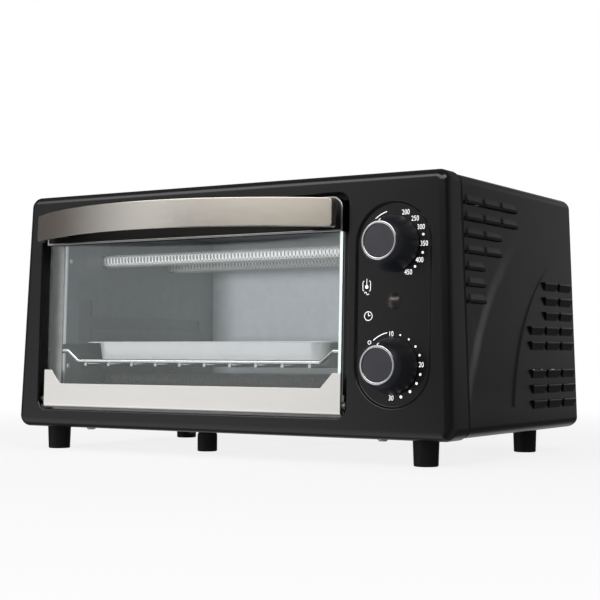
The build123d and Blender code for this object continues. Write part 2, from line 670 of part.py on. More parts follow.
def rivet_places():
    """Depth and height of the rivets near the mouth, set back from the tilted wall edge."""
    tilt = math.tan(math.radians(FACE_TILT))
    return [(wall_front + RIVET_SETBACK + z * tilt, z) for z in RIVET_HEIGHTS]


def make_cavity_rivets():
    """Round heads on the inside of both cavity walls."""
    rivets = []
    for inner, outward in ((cavity_left, -1), (cavity_right, 1)):
        for depth_y, height in rivet_places():
            head = Cylinder(RIVET_RADIUS, RIVET_HEAD, align=STAND)
            head = chamfer(head.faces().sort_by(Axis.Z)[-1].edges(), RIVET_HEAD * 2 / 3)
            rivets.append(Pos(inner, depth_y, height) * Rot(0, -90 * outward, 0) * head)
    return Compound(children=rivets)


def make_cavity_roof():
    roof = panel(cavity_left - CAVITY_SHEET, cavity_right + CAVITY_SHEET, 0, cavity_back)
    return lift(roof, cavity_top, cavity_top + CAVITY_SHEET) - ahead_of(wall_front)


def make_cavity_back():
    back = panel(cavity_left - CAVITY_SHEET, cavity_right + CAVITY_SHEET,
                 base_top, cavity_top + CAVITY_SHEET)
    return deepen(back, cavity_back, cavity_back + CAVITY_SHEET)


# Heaters
def make_heater_tube(depth_y, height):
    outside = crossbar(depth_y, height, TUBE_RADIUS, tube_left, tube_right)
    return outside - crossbar(depth_y, height, TUBE_RADIUS - TUBE_WALL, tube_left, tube_right)


def biarc(start, start_way, end, end_way):
    """Two arcs that leave start along start_way, meet smoothly and reach end along end_way."""
    gap = end - start
    ways = start_way + end_way
    spread = 2 * (1 - start_way.dot(end_way))
    arm = (math.sqrt(gap.dot(ways) ** 2 + spread * gap.dot(gap)) - gap.dot(ways)) / spread
    first, second = start + start_way * arm, end - end_way * arm
    joint = (first + second) * 0.5
    return [TangentArc(start, joint, tangent=start_way),
            TangentArc(joint, end, tangent=second - first)]


def coil_point(turn, depth_y, height):
    """Point and direction of the coil after a number of turns."""
    pitch = (tube_right - tube_left - 2 * (COIL_LEAD + COIL_WIRE)) / COIL_TURNS
    angle = 2 * math.pi * turn
    across, up = COIL_RADIUS * math.cos(angle), COIL_RADIUS * math.sin(angle)
    point = Vector(tube_left + COIL_LEAD + COIL_WIRE + pitch * turn, depth_y + across, height + up)
    along = Vector(pitch, -2 * math.pi * up, 2 * math.pi * across)
    return point, along.normalized()


def make_heater_coil(depth_y, height):
    """One unbroken square wire: half turns as pairs of arcs, and a straight end at each cap."""
    out = Vector(1, 0, 0)
    first, first_way = coil_point(0, depth_y, height)
    last, last_way = coil_point(COIL_TURNS, depth_y, height)
    start = Vector(tube_left, first.Y, first.Z - COIL_LEAD / 2)
    finish = Vector(tube_right, last.Y, last.Z + COIL_LEAD / 2)
    edges = [Line(start, start + out * COIL_WIRE)]
    edges += biarc(start + out * COIL_WIRE, out, first, first_way)
    for half_turn in range(2 * COIL_TURNS):
        here, way = coil_point(half_turn / 2, depth_y, height)
        there, there_way = coil_point((half_turn + 1) / 2, depth_y, height)
        edges += biarc(here, way, there, there_way)
    edges += biarc(last, last_way, finish - out * COIL_WIRE, out)
    edges.append(Line(finish - out * COIL_WIRE, finish))
    section = Plane(start, x_dir=(0, 1, 0), z_dir=(1, 0, 0)) * Rectangle(COIL_WIRE, COIL_WIRE)
    return sweep(section, path=Wire(edges), clean=False)


def coil_self_gap():
    """Least gap between neighbouring turns, measured on points half a turn or more apart."""
    steps = 24
    points = [coil_point(step / steps, 0, 0)[0] for step in range(3 * steps)]
    near = min((points[far] - points[0]).length for far in range(steps // 2, 3 * steps))
    return near - COIL_WIRE * math.sqrt(2)


def make_heater_caps(wall, outward):
    """Ceramic caps on the outside of one cavity wall, each holding a tube's end."""
    caps = []
    for depth_y, height in heater_places.values():
        ends = sorted((wall, wall + outward * CAP_LENGTH))
        brim = sorted((wall, wall + outward * CAP_FLANGE))
        bore = sorted((wall, wall + outward * (CAP_LENGTH - CAP_END)))
        cap = crossbar(depth_y, height, CAP_RADIUS, *ends)
        cap += crossbar(depth_y, height, CAP_FLANGE_RADIUS, *brim)
        caps.append(cap - crossbar(depth_y, height, TUBE_RADIUS + RUN, *bore))
    return Compound(children=caps)


# Leads
def make_lead(points):
    """An insulated wire through some points, with round bends."""
    path = FilletPolyline(*points, radius=LEAD_BEND)
    start = Plane(path @ 0, z_dir=path % 0)
    return sweep(start * Circle(LEAD_WIRE), path=path)


def blade_tip(across, height, depth):
    """A point just behind the end of a control's contact blade."""
    return (FRONT * Pos(across, plate_back + depth + BLADE_REACH + CLEAR, height)).position


def behind(point, depth_y):
    """The point straight behind another, square to the tilted face, at a depth."""
    return point + inward * ((depth_y - point.Y) / inward.Y)


def make_control_leads():
    """Leads from the thermostat and the timer to the front heaters, and from one to the other."""
    upper_y, upper_z = heater_places["upper_front"]
    lower_y, lower_z = heater_places["lower_front"]
    width, depth, _ = THERMOSTAT_SIZE
    near_blade = blade_tip(control_x - width / 4, temperature_z, depth)
    far_blade = blade_tip(control_x + width / 4, temperature_z, depth)
    high_blade = blade_tip(control_x, timer_z + TIMER_BLADE_RISE, TIMER_DEPTH)
    low_blade = blade_tip(control_x, timer_z - TIMER_BLADE_RISE, TIMER_DEPTH)
    cap_face = caps_right + CLEAR
    link_y = (upper_y + high_blade.Y) / 2 + 2 * LEAD_BEND
    upper = [near_blade, behind(near_blade, upper_y), Vector(cap_face, upper_y, upper_z)]
    lower = [low_blade, behind(low_blade, lower_y), Vector(cap_face, lower_y, lower_z)]
    link = [far_blade, behind(far_blade, link_y), behind(high_blade, link_y), high_blade]
    return Compound(children=[make_lead(points) for points in (upper, lower, link)])


def make_heater_jumpers():
    """Bowed wires that join the front and rear heaters' caps, and the rear ones to each other."""
    front, rear = HEATER_FRONT, HEATER_FRONT + HEATER_SPACING
    runs = [
        (caps_left, -1, (front, upper_heater_z), (rear, upper_heater_z)),
        (caps_left, -1, (front, lower_heater_z), (rear, lower_heater_z)),
        (caps_right, 1, (rear, upper_heater_z), (rear, lower_heater_z)),
    ]
    jumpers = []
    for face, outward, start, end in runs:
        near, far = face + outward * CLEAR, face + outward * (LEAD_BOW + LEAD_BEND)
        points = [(near, *start), (far, *start), (far, *end), (near, *end)]
        jumpers.append(make_lead([Vector(*point) for point in points]))
    return Compound(children=jumpers)


# Door
def make_door_glass():
    pane = panel(door_left + GLASS_SIDE, door_right - GLASS_SIDE, hinge_z + PIN_RADIUS + RAIL_SHEET,
                 top_rail_foot + GLASS_TUCK)
    return FRONT * deepen(pane, RAIL_SHEET, RAIL_SHEET + GLASS_THICK)


def make_bottom_rail():
    """A rolled channel with a tapered tab at each end of its front."""
    outside = panel(0, door_thick, door_bottom, door_bottom + BOTTOM_RAIL_HEIGHT)
    outside = fillet(outside.vertices().group_by(Axis.Y)[0], BOTTOM_RAIL_ROLL)
    above = door_bottom + 2 * BOTTOM_RAIL_HEIGHT
    inside = panel(RAIL_SHEET, door_thick - RAIL_SHEET, door_bottom + RAIL_SHEET, above)
    inside = fillet(inside.vertices().group_by(Axis.Y)[0], BOTTOM_RAIL_ROLL - RAIL_SHEET)
    back_top = panel(RAIL_SHEET, 2 * door_thick, door_bottom + BOTTOM_RAIL_BACK, above)
    rail = span(outside - inside - back_top, door_left, door_right)
    foot = door_bottom + BOTTOM_RAIL_HEIGHT
    tab = Polygon((0, 0), (TAB_FOOT, 0), (TAB_TOP, TAB_HEIGHT), (0, TAB_HEIGHT), align=None)
    rail += deepen(Pos(door_left, foot) * tab, 0, RAIL_SHEET)
    rail += deepen(Pos(door_right, foot) * mirror(tab, about=Plane.YZ), 0, RAIL_SHEET)
    return FRONT * rail


def make_top_rail():
    """A folded box along the door's top, open below for the glass."""
    outside = panel(door_left, door_right, top_rail_foot, door_top)
    outside = fillet(outside.vertices().group_by(Axis.Y)[-1], TOP_RAIL_CORNER)
    inside = panel(door_left + RAIL_SHEET, door_right - RAIL_SHEET, top_rail_foot - TOP_RAIL_HEIGHT,
                   door_top - RAIL_SHEET)
    inside = fillet(inside.vertices().group_by(Axis.Y)[-1], TOP_RAIL_CORNER - RAIL_SHEET)
    rail = deepen(outside, 0, door_thick) - deepen(inside, RAIL_SHEET, door_thick - RAIL_SHEET)
    bead = deepen(outside - offset(outside, -BEAD_WIDTH), -BEAD_PROUD, 0)
    bead = fillet(bead.faces().sort_by(Axis.Y)[0].edges(), BEAD_ROUND)
    rail += bead
    for x in post_xs:
        rail -= deepen(disc(x, handle_middle, SCREW_RADIUS + FIT), -door_thick, 2 * door_thick)
    return FRONT * rail


def make_door_handle():
    """A flat strip bowed away from the door, with short returns at its ends."""
    outer_left, outer_right = Vector(door_left, -HANDLE_END), Vector(handle_right, -HANDLE_END)
    inner_half = handle_half - HANDLE_SHEET
    inner_y = handle_centre_y - math.sqrt((handle_radius - HANDLE_SHEET) ** 2 - inner_half ** 2)
    inner_left, inner_right = Vector(middle_x - inner_half, inner_y), Vector(middle_x + inner_half, inner_y)
    back = HANDLE_RETURN - HANDLE_END
    plan = make_face([
        ThreePointArc(outer_left, (middle_x, -HANDLE_END - HANDLE_BOW), outer_right),
        Polyline(outer_right, (outer_right.X, back), (inner_right.X, back), inner_right),
        ThreePointArc(inner_right, (middle_x, -HANDLE_END - HANDLE_BOW + HANDLE_SHEET), inner_left),
        Polyline(inner_left, (inner_left.X, back), (outer_left.X, back), outer_left),
    ])
    strip = lift(plan, handle_top - HANDLE_HEIGHT, handle_top)
    corners = strip.edges().filter_by(Axis.Y).group_by(Axis.X)
    return FRONT * fillet(corners[0] + corners[-1], HANDLE_CORNER)


def make_handle_posts():
    """Posts from the top rail to the back of the strip, each with a screw hole."""
    inside = Pos(middle_x, handle_centre_y) * Circle(handle_radius - HANDLE_SHEET)
    low, high = handle_middle - POST_HEIGHT / 2, handle_middle + POST_HEIGHT / 2
    posts = []
    for x in post_xs:
        plan = panel(x - POST_WIDTH / 2, x + POST_WIDTH / 2, -HANDLE_END - HANDLE_BOW, 0) & inside
        hole = disc(x, handle_middle, SCREW_RADIUS + FIT)
        posts.append(FRONT * (lift(plan, low, high) - deepen(hole, -SCREW_BITE - CLEAR, 0)))
    return Compound(children=posts)


def make_handle_screws():
    screw = Rot(90, 0, 0) * pan_screw(door_thick + SCREW_BITE)
    return Compound(children=[FRONT * Pos(x, door_thick, handle_middle) * screw for x in post_xs])


def make_hinge_pin(end, jamb, outward):
    """A square root inside the rail, a collar in the gap and a pin into the bracket."""
    root = sorted((end, end - outward * PIN_ROOT))
    tip = jamb + outward * (JAMB_WALL + BRACKET_SHEET)
    collar = sorted((end, end + outward * COLLAR_LENGTH))
    square = panel(RAIL_SHEET, RAIL_SHEET + GLASS_THICK, hinge_z - PIN_RADIUS, hinge_z + PIN_RADIUS)
    pin = span(square, *root)
    pin += crossbar(hinge_y, hinge_z, COLLAR_RADIUS, *collar)
    return FRONT * (pin + crossbar(hinge_y, hinge_z, PIN_RADIUS, *sorted((end, tip))))


def make_hinge_bracket(jamb, outward):
    """A plate behind the jamb that carries one hinge pin."""
    plate = panel(FRAME_WALL + FIT, FLANGE_SETBACK, hinge_z - PIN_RADIUS - BRACKET_SHEET,
                  hinge_z - PIN_RADIUS - BRACKET_SHEET + BRACKET_HEIGHT)
    plate -= disc(hinge_y, hinge_z, PIN_RADIUS + RUN)
    near = jamb + outward * JAMB_WALL
    return FRONT * span(plate, *sorted((near, near + outward * BRACKET_SHEET)))


# Wire rack and baking tray
def make_wire_rack():
    flat = cavity_right - middle_x - RACK_FLAT_INSET
    rise = flat + RACK_RISE_RUN
    tip = cavity_right - middle_x + GROOVE_DEPTH - 2 * CLEAR
    pitch = 2 * (flat - BAR_INSET) / (BAR_COUNT - 1)
    half = [(flat, RACK_HEIGHT), (rise, tip_z), (tip, tip_z)]
    points = [(-x, z) for x, z in reversed(half)] + half
    rack = None
    for depth_y in (RACK_FRONT, rack_rear):
        path = FilletPolyline(*[(middle_x + x, depth_y, z) for x, z in points], radius=2 * CROSS_WIRE)
        start = Plane(path @ 0, x_dir=(0, 1, 0), z_dir=path % 0)
        wire = sweep(start * Circle(CROSS_WIRE), path=path)
        rack = wire if rack is None else rack + wire
    for index in range(BAR_COUNT):
        across = middle_x + (index - (BAR_COUNT - 1) / 2) * pitch
        rack += deepen(disc(across, bar_z, BAR_WIRE), RACK_FRONT - CROSS_WIRE, rack_rear + CROSS_WIRE)
    return rack


def tray_block(inset, low):
    """The tray's flared block, inset all round, from height low up to the rim."""
    plan = RectangleRounded(tray_width - 2 * inset, tray_depth - 2 * inset, TRAY_CORNER - inset)
    place = Pos(middle_x + TRAY_SHIFT, tray_front + tray_depth / 2)
    return extrude(Pos(0, 0, low) * place * plan, amount=tray_floor + TRAY_HEIGHT - low, taper=-TRAY_FLARE)


def make_baking_tray():
    """A pressed pan with flared walls and a flat rim."""
    flare = TRAY_HEIGHT * math.tan(math.radians(TRAY_FLARE))
    place = Pos(middle_x + TRAY_SHIFT, tray_front + tray_depth / 2)
    rim = RectangleRounded(tray_width + 2 * (flare + TRAY_RIM), tray_depth + 2 * flare + TRAY_RIM,
                           TRAY_CORNER + TRAY_RIM / 2)
    top = tray_floor + TRAY_HEIGHT
    pan = tray_block(0, tray_floor) + lift(place * rim, top - TRAY_SHEET, top)
    return pan - tray_block(TRAY_SHEET, tray_floor + TRAY_SHEET)


# Controls
def turned(profile, height):
    """Turn a profile (radius across, reach out of the face up) about a control's axis."""
    spun = revolve(Plane.XZ * make_face(Polyline(*profile, close=True)), Axis.Z)
    return FRONT * Pos(control_x, 0, height) * Rot(90, 0, 0) * spun


def make_knob(height):
    """A round knob: flared skirt, long taper, rounded crown, seats for the ring and the shaft."""
    base = KNOB_GAP - RECESS_DEPTH
    tip = KNOB_REACH
    crown_start = Vector(KNOB_TIP_RADIUS + KNOB_CROWN / 3, tip - KNOB_CROWN)
    side = [
        Line((0, base), (KNOB_RADIUS, base)),
        Line((KNOB_RADIUS, base), (KNOB_RADIUS, base + KNOB_SKIRT)),
        Line((KNOB_RADIUS, base + KNOB_SKIRT), crown_start),
        TangentArc(crown_start, (KNOB_TIP_RADIUS - KNOB_CROWN / 6, tip),
                   tangent=crown_start - Vector(KNOB_RADIUS, base + KNOB_SKIRT)),
        Line((KNOB_TIP_RADIUS - KNOB_CROWN / 6, tip), (0, tip)),
        Line((0, tip), (0, base)),
    ]
    body = revolve(Plane.XZ * make_face(Wire(side)), Axis.Z)
    seat = Pos(0, 0, tip - RING_DEPTH)
    body -= seat * Cylinder(RING_RADIUS + FIT, RING_DEPTH, align=STAND)
    body += seat * Cylinder(RING_RADIUS - RING_WIDTH - FIT, RING_DEPTH - INLAY_THICK, align=STAND)
    body -= Pos(0, 0, base) * Cylinder(SHAFT_RADIUS + RUN, tip - SHAFT_TIP_GAP - base, align=STAND)
    return FRONT * Pos(control_x, 0, height) * Rot(90, 0, 0) * body


def make_ring(height):
    inner, outer = RING_RADIUS - RING_WIDTH, RING_RADIUS
    low, high = KNOB_REACH - RING_DEPTH, KNOB_REACH + RING_PROUD
    return turned([(inner, low), (outer, low), (outer, high), (inner, high)], height)


def make_inlay(height):
    """The disc inside a knob's ring."""
    edge = RING_RADIUS - RING_WIDTH - FIT
    low, high = KNOB_REACH - INLAY_THICK, KNOB_REACH
    return turned([(0, low), (edge, low), (edge, high), (0, high)], height)


def make_shaft(height):
    return turned([(0, -plate_back - SHAFT_TAIL), (SHAFT_RADIUS, -plate_back - SHAFT_TAIL),
                   (SHAFT_RADIUS, KNOB_REACH - SHAFT_TIP_GAP), (0, KNOB_REACH - SHAFT_TIP_GAP)], height)


def shaft_bearing(height):
    """The blind bore that a control's shaft turns in."""
    return deepen(disc(control_x, height, SHAFT_RADIUS + RUN), 0, plate_back + SHAFT_TAIL + CLEAR)


def make_control_plate():
    half = RECESS_WIDTH / 2 + PLATE_SIDE
    plate = panel(control_x - half, control_x + half, RECESS_FOOT - PLATE_MARGIN, recess_top + PLATE_MARGIN)
    for height in (timer_z, temperature_z):
        plate -= disc(control_x, height, SHAFT_HOLE)
    plate -= disc(control_x, lamp_z, LENS_STEM + FIT)
    return FRONT * deepen(plate, panel_back, plate_back)


def make_thermostat():
    """A bimetal thermostat: insulating block, mounting ears and contact blades."""
    width, depth, tall = THERMOSTAT_SIZE
    half = width / 2
    outline = panel(control_x - half, control_x + half, temperature_z - tall / 2, temperature_z + tall / 2)
    block = deepen(outline, plate_back, plate_back + depth)
    block = fillet(block.edges().filter_by(Axis.Y), width / 10)
    for side in (-1, 1):
        blade = Pos(control_x + side * half / 2, temperature_z) * Rectangle(BLADE_WIDTH, BLADE_SHEET)
        block += deepen(blade, plate_back + depth - ROOT, plate_back + depth + BLADE_REACH)
    return FRONT * (block - shaft_bearing(temperature_z))


def make_timer():
    """A clockwork timer: round case, winding bearing and the post of its bell."""
    case = deepen(disc(control_x, timer_z, TIMER_RADIUS), plate_back, plate_back + TIMER_DEPTH)
    case = fillet(case.faces().sort_by(Axis.Y)[-1].edges(), TIMER_RADIUS / 10)
    post = disc(control_x, timer_z, BELL_POST)
    case_end = plate_back + TIMER_DEPTH
    case += deepen(post, case_end - ROOT, case_end + BELL_DEPTH - BELL_SHEET)
    for rise in (-TIMER_BLADE_RISE, TIMER_BLADE_RISE):
        blade = Pos(control_x, timer_z + rise) * Rectangle(BLADE_WIDTH, BLADE_SHEET)
        case += deepen(blade, case_end - 4 * ROOT, case_end + BLADE_REACH)
    return FRONT * (case - shaft_bearing(timer_z))


def make_timer_bell():
    """A shallow dish on the post behind the timer, open towards it."""
    end = -(plate_back + TIMER_DEPTH + BELL_DEPTH)
    wall = BELL_SHEET
    return turned([(0, end), (BELL_RADIUS - BELL_DEPTH / 2, end), (BELL_RADIUS, end + BELL_DEPTH * 3 / 4),
                   (BELL_RADIUS - wall, end + BELL_DEPTH * 3 / 4),
                   (BELL_RADIUS - BELL_DEPTH / 2 - wall / 2, end + wall), (0, end + wall)], timer_z)


def make_lamp_lens():
    """A domed lens on the recess floor, with a stem through the panel."""
    floor = -RECESS_DEPTH
    round_off = (LENS_RADIUS ** 2 + LENS_DOME ** 2) / (2 * LENS_DOME)
    lens = Pos(0, 0, floor + LENS_DOME - round_off) * Sphere(round_off)
    lens &= Pos(0, 0, floor) * Cylinder(LENS_RADIUS, LENS_DOME, align=STAND)
    lens += Pos(0, 0, floor - LENS_STEM_LENGTH) * Cylinder(LENS_STEM, LENS_STEM_LENGTH, align=STAND)
    return FRONT * Pos(control_x, 0, lamp_z) * Rot(90, 0, 0) * lens


def make_lamp_holder():
    body = deepen(disc(control_x, lamp_z, HOLDER_RADIUS), plate_back, plate_back + HOLDER_LENGTH)
    stem_end = RECESS_DEPTH + LENS_STEM_LENGTH
    return FRONT * (body - deepen(disc(control_x, lamp_z, LENS_STEM + RUN), 0, stem_end))


# Feet and crumb door
def make_foot(x, y, seat):
    """A tapered foot with a rounded lower edge and a well for its screw."""
    tall = FOOT_HEIGHT + seat
    foot = Pos(0, 0, -tall) * Cone(FOOT_BOTTOM, FOOT_TOP, tall, align=STAND)
    foot = fillet(foot.faces().sort_by(Axis.Z)[0].edges(), FOOT_EDGE)
    foot -= Pos(0, 0, -tall) * Cylinder(FOOT_WELL, tall - FOOT_WEB, align=STAND)
    foot -= Pos(0, 0, -tall) * Cylinder(SCREW_RADIUS + FIT, tall, align=STAND)
    return Pos(x, y, seat) * foot


def make_underside_screws():
    """The screws in the feet's wells, and two more that hold frame and base plate together."""
    screws = []
    for x, y, seat in foot_places.values():
        screws.append(Pos(x, y, seat - FOOT_WEB) * pan_screw(FOOT_WEB + SCREW_BITE))
    for x, y in front_screw_places()[-2:]:
        screws.append(Pos(x, y, 0) * pan_screw(SCREW_BITE))
    return Compound(children=screws)


def make_crumb_door():
    """A plate under the base plate's opening, rolled round a hinge pin at its back."""
    half = crumb_half + CRUMB_LAP
    plan = panel(middle_x - half, middle_x + half, crumb_front, crumb_hinge_y)
    plate = lift(plan, crumb_top - CRUMB_SHEET, crumb_top)
    plate += crossbar(crumb_hinge_y, crumb_hinge_z, CRUMB_KNUCKLE, middle_x - half, middle_x + half)
    return plate - crossbar(crumb_hinge_y, crumb_hinge_z, CRUMB_PIN, middle_x - half, middle_x + half)


def make_crumb_hinge_pin():
    half = crumb_half + CRUMB_LAP + CLEAR + CRUMB_EAR
    return crossbar(crumb_hinge_y, crumb_hinge_z, CRUMB_PIN, middle_x - half, middle_x + half)


def make_crumb_pull():
    """The knob that pulls the crumb door down: neck, sloping shoulder, round barrel."""
    low = -PULL_HEIGHT
    profile = [(0, low), (PULL_RADIUS, low), (PULL_RADIUS, -PULL_SHOULDER), (PULL_NECK, 0), (0, 0)]
    pull = revolve(Plane.XZ * make_face(Polyline(*profile, close=True)), Axis.Z)
    pull = fillet(pull.faces().sort_by(Axis.Z)[0].edges(), FOOT_EDGE)
    return Pos(middle_x, crumb_front + PULL_SETBACK, crumb_top - CRUMB_SHEET) * pull


def make_crumb_stud():
    """A domed stud under the crumb door, left of the pull."""
    curve = (STUD_RADIUS ** 2 + STUD_DROP ** 2) / (2 * STUD_DROP)
    dome = Pos(0, 0, curve - STUD_DROP) * Sphere(curve)
    dome &= Pos(0, 0, -STUD_DROP) * Cylinder(STUD_RADIUS, STUD_DROP, align=STAND)
    return Pos(middle_x - STUD_SIDE, crumb_front + PULL_SETBACK, crumb_top - CRUMB_SHEET) * dome


# Assembly
nodes = {
    "front_frame": make_front_frame(),
    "outer_shell": make_outer_shell(),
    "rear_panel": make_rear_panel(),
    "base_plate": make_base_plate(),
    "cord_bushing": make_cord_bushing(),
    "rear_screws": make_rear_screws(),
    "underside_screws": make_underside_screws(),
    "cavity_front_flange": make_front_flange(),
    "cavity_left_wall": make_cavity_wall(cavity_left, -1),
    "cavity_right_wall": make_cavity_wall(cavity_right, 1),
    "cavity_roof": make_cavity_roof(),
    "cavity_back_wall": make_cavity_back(),
    "cavity_rivets": make_cavity_rivets(),
    "heater_caps_left": make_heater_caps(cavity_left - CAVITY_SHEET, -1),
    "heater_caps_right": make_heater_caps(cavity_right + CAVITY_SHEET, 1),
    "heater_jumpers": make_heater_jumpers(),
    "control_leads": make_control_leads(),
    "control_plate": make_control_plate(),
    "thermostat": make_thermostat(),
    "timer": make_timer(),
    "timer_bell": make_timer_bell(),
    "lamp_lens": make_lamp_lens(),
    "lamp_holder": make_lamp_holder(),
    "hinge_bracket_left": make_hinge_bracket(opening_left, -1),
    "hinge_bracket_right": make_hinge_bracket(opening_right, 1),
    "door_glass": make_door_glass(),
    "door_top_rail": make_top_rail(),
    "door_bottom_rail": make_bottom_rail(),
    "door_handle": make_door_handle(),
    "handle_posts": make_handle_posts(),
    "handle_screws": make_handle_screws(),
    "hinge_pin_left": make_hinge_pin(door_left, opening_left, -1),
    "hinge_pin_right": make_hinge_pin(door_right, opening_right, 1),
    "wire_rack": make_wire_rack(),
    "baking_tray": make_baking_tray(),
    "crumb_door": make_crumb_door(),
    "crumb_hinge_pin": make_crumb_hinge_pin(),
    "crumb_pull": make_crumb_pull(),
    "crumb_stud": make_crumb_stud(),
}
for place, (depth_y, height) in heater_places.items():
    nodes["heater_tube_" + place] = make_heater_tube(depth_y, height)
    nodes["heater_coil_" + place] = make_heater_coil(depth_y, height)
for place, (x, y, seat) in foot_places.items():
    nodes["foot_" + place] = make_foot(x, y, seat)
for name, height in (("temperature", temperature_z), ("timer", timer_z)):
    nodes[name + "_knob"] = make_knob(height)
    nodes[name + "_knob_ring"] = make_ring(height)
    nodes[name + "_knob_inlay"] = make_inlay(height)
    nodes[name + "_shaft"] = make_shaft(height)

front_reach = nodes["door_handle"].bounding_box().min.Y
back_reach = nodes["cord_bushing"].bounding_box().max.Y
SETTLE = Pos(0, -(front_reach + back_reach) / 2, FOOT_HEIGHT)

os.makedirs("parts", exist_ok=True)
for name, piece in nodes.items():
    export_step(SETTLE * piece, "parts/" + name + ".step")

print("nodes", len(nodes))
print("least gap between coil turns", round(coil_self_gap(), 2))
for label, place in (
    ("door hinge", SETTLE * FRONT * Pos(0, hinge_y, hinge_z)),
    ("temperature axis", SETTLE * FRONT * Pos(control_x, 0, temperature_z)),
    ("timer axis", SETTLE * FRONT * Pos(control_x, 0, timer_z)),
    ("crumb hinge", SETTLE * Pos(0, crumb_hinge_y, crumb_hinge_z)),
):
    print(label, [round(value, 3) for value in place.position])
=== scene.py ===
# %% [markdown]
# # A countertop toaster oven
# The solid model of this oven is already packed, at its real size, in one fixed frame.
# This lesson dresses it: every sheet, moulding and wire gets its finish, the edges that catch
# the light are rounded, and the dials get their print.
# Loading the frame first means that nothing has to be fitted by eye later on.
# Blender works in metres. Lengths of the oven's own pieces are written in millimetres and multiplied by MM.

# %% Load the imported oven
import json
import math

import bmesh
import bpy
from mathutils import Matrix, Vector
from mathutils.bvhtree import BVHTree


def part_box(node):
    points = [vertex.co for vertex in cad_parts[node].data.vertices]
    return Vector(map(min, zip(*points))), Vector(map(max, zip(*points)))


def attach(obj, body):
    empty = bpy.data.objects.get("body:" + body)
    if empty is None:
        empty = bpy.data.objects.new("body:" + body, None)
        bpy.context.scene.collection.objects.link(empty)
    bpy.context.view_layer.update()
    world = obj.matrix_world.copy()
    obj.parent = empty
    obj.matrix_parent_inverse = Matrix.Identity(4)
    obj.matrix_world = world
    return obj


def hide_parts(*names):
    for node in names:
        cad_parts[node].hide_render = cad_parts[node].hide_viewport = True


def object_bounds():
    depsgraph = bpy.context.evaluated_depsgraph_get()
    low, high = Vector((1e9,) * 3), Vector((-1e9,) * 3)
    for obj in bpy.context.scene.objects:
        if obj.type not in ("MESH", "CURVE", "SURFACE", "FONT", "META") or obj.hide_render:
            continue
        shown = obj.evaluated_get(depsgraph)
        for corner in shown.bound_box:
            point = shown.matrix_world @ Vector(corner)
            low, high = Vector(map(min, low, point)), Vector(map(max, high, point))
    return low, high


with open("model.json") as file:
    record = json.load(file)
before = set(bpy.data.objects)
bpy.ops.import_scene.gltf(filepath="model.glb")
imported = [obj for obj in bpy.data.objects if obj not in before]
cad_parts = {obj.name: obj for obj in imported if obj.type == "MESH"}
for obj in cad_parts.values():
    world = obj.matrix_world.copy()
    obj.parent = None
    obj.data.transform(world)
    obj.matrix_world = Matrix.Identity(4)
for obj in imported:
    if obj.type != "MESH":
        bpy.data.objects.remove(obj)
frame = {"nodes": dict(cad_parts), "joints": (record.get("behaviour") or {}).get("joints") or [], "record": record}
cad_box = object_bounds()
nodes = frame["nodes"]
joints = {joint["name"]: joint for joint in frame["joints"]}
carrier = {node: body for body, held in frame["record"]["behaviour"]["bodies"].items() for node in held}
MM = 0.001

# %% [markdown]
# ## The camera
# The photograph was taken from low down, to the right of the oven and about a metre away.
# The camera could be placed by hand, but its place, its three turns and its lens were worked out
# from the oven's own corners, so the values are simply written here.

# %% Camera
CAMERA_PLACE = (0.55228, -0.859551, 0.0712115)
CAMERA_YAW = 0.5576
CAMERA_PITCH = 0.0382
CAMERA_ROLL = 0.0034
CAMERA_LENS = 83.517
CAMERA_SENSOR = 36.0
CAMERA_NEAR = 0.01

camera = bpy.data.objects.new("camera", bpy.data.cameras.new("camera"))
bpy.context.scene.collection.objects.link(camera)
camera.data.lens = CAMERA_LENS
camera.data.sensor_width = CAMERA_SENSOR
camera.data.clip_start = CAMERA_NEAR
camera.matrix_world = (
    Matrix.Translation(CAMERA_PLACE)
    @ Matrix.Rotation(CAMERA_YAW, 4, "Z")
    @ Matrix.Rotation(math.pi / 2 + CAMERA_PITCH, 4, "X")
    @ Matrix.Rotation(CAMERA_ROLL, 4, "Z")
)
bpy.context.scene.camera = camera
bpy.context.scene.view_settings.view_transform = "Standard"
print("camera at", CAMERA_PLACE)

# %% [markdown]
# ## Shader maths in Python
# A finish is a tree of nodes. Wiring one by hand is slow to read, so a socket is wrapped in a small
# class whose operators add the Math nodes, and one method adds any other node:
# its settings first, then the values or links of its sockets.


# %% Shader maths
class Wire:
    """A node's output that can be used in Python sums."""

    def __init__(self, finish, socket):
        self.finish = finish
        self.socket = socket

    def __add__(self, other):
        return self.finish.math("ADD", self, other)

    def __sub__(self, other):
        return self.finish.math("SUBTRACT", self, other)

    def __rsub__(self, other):
        return self.finish.math("SUBTRACT", other, self)

    def __mul__(self, other):
        return self.finish.math("MULTIPLY", self, other)

    __radd__ = __add__
    __rmul__ = __mul__


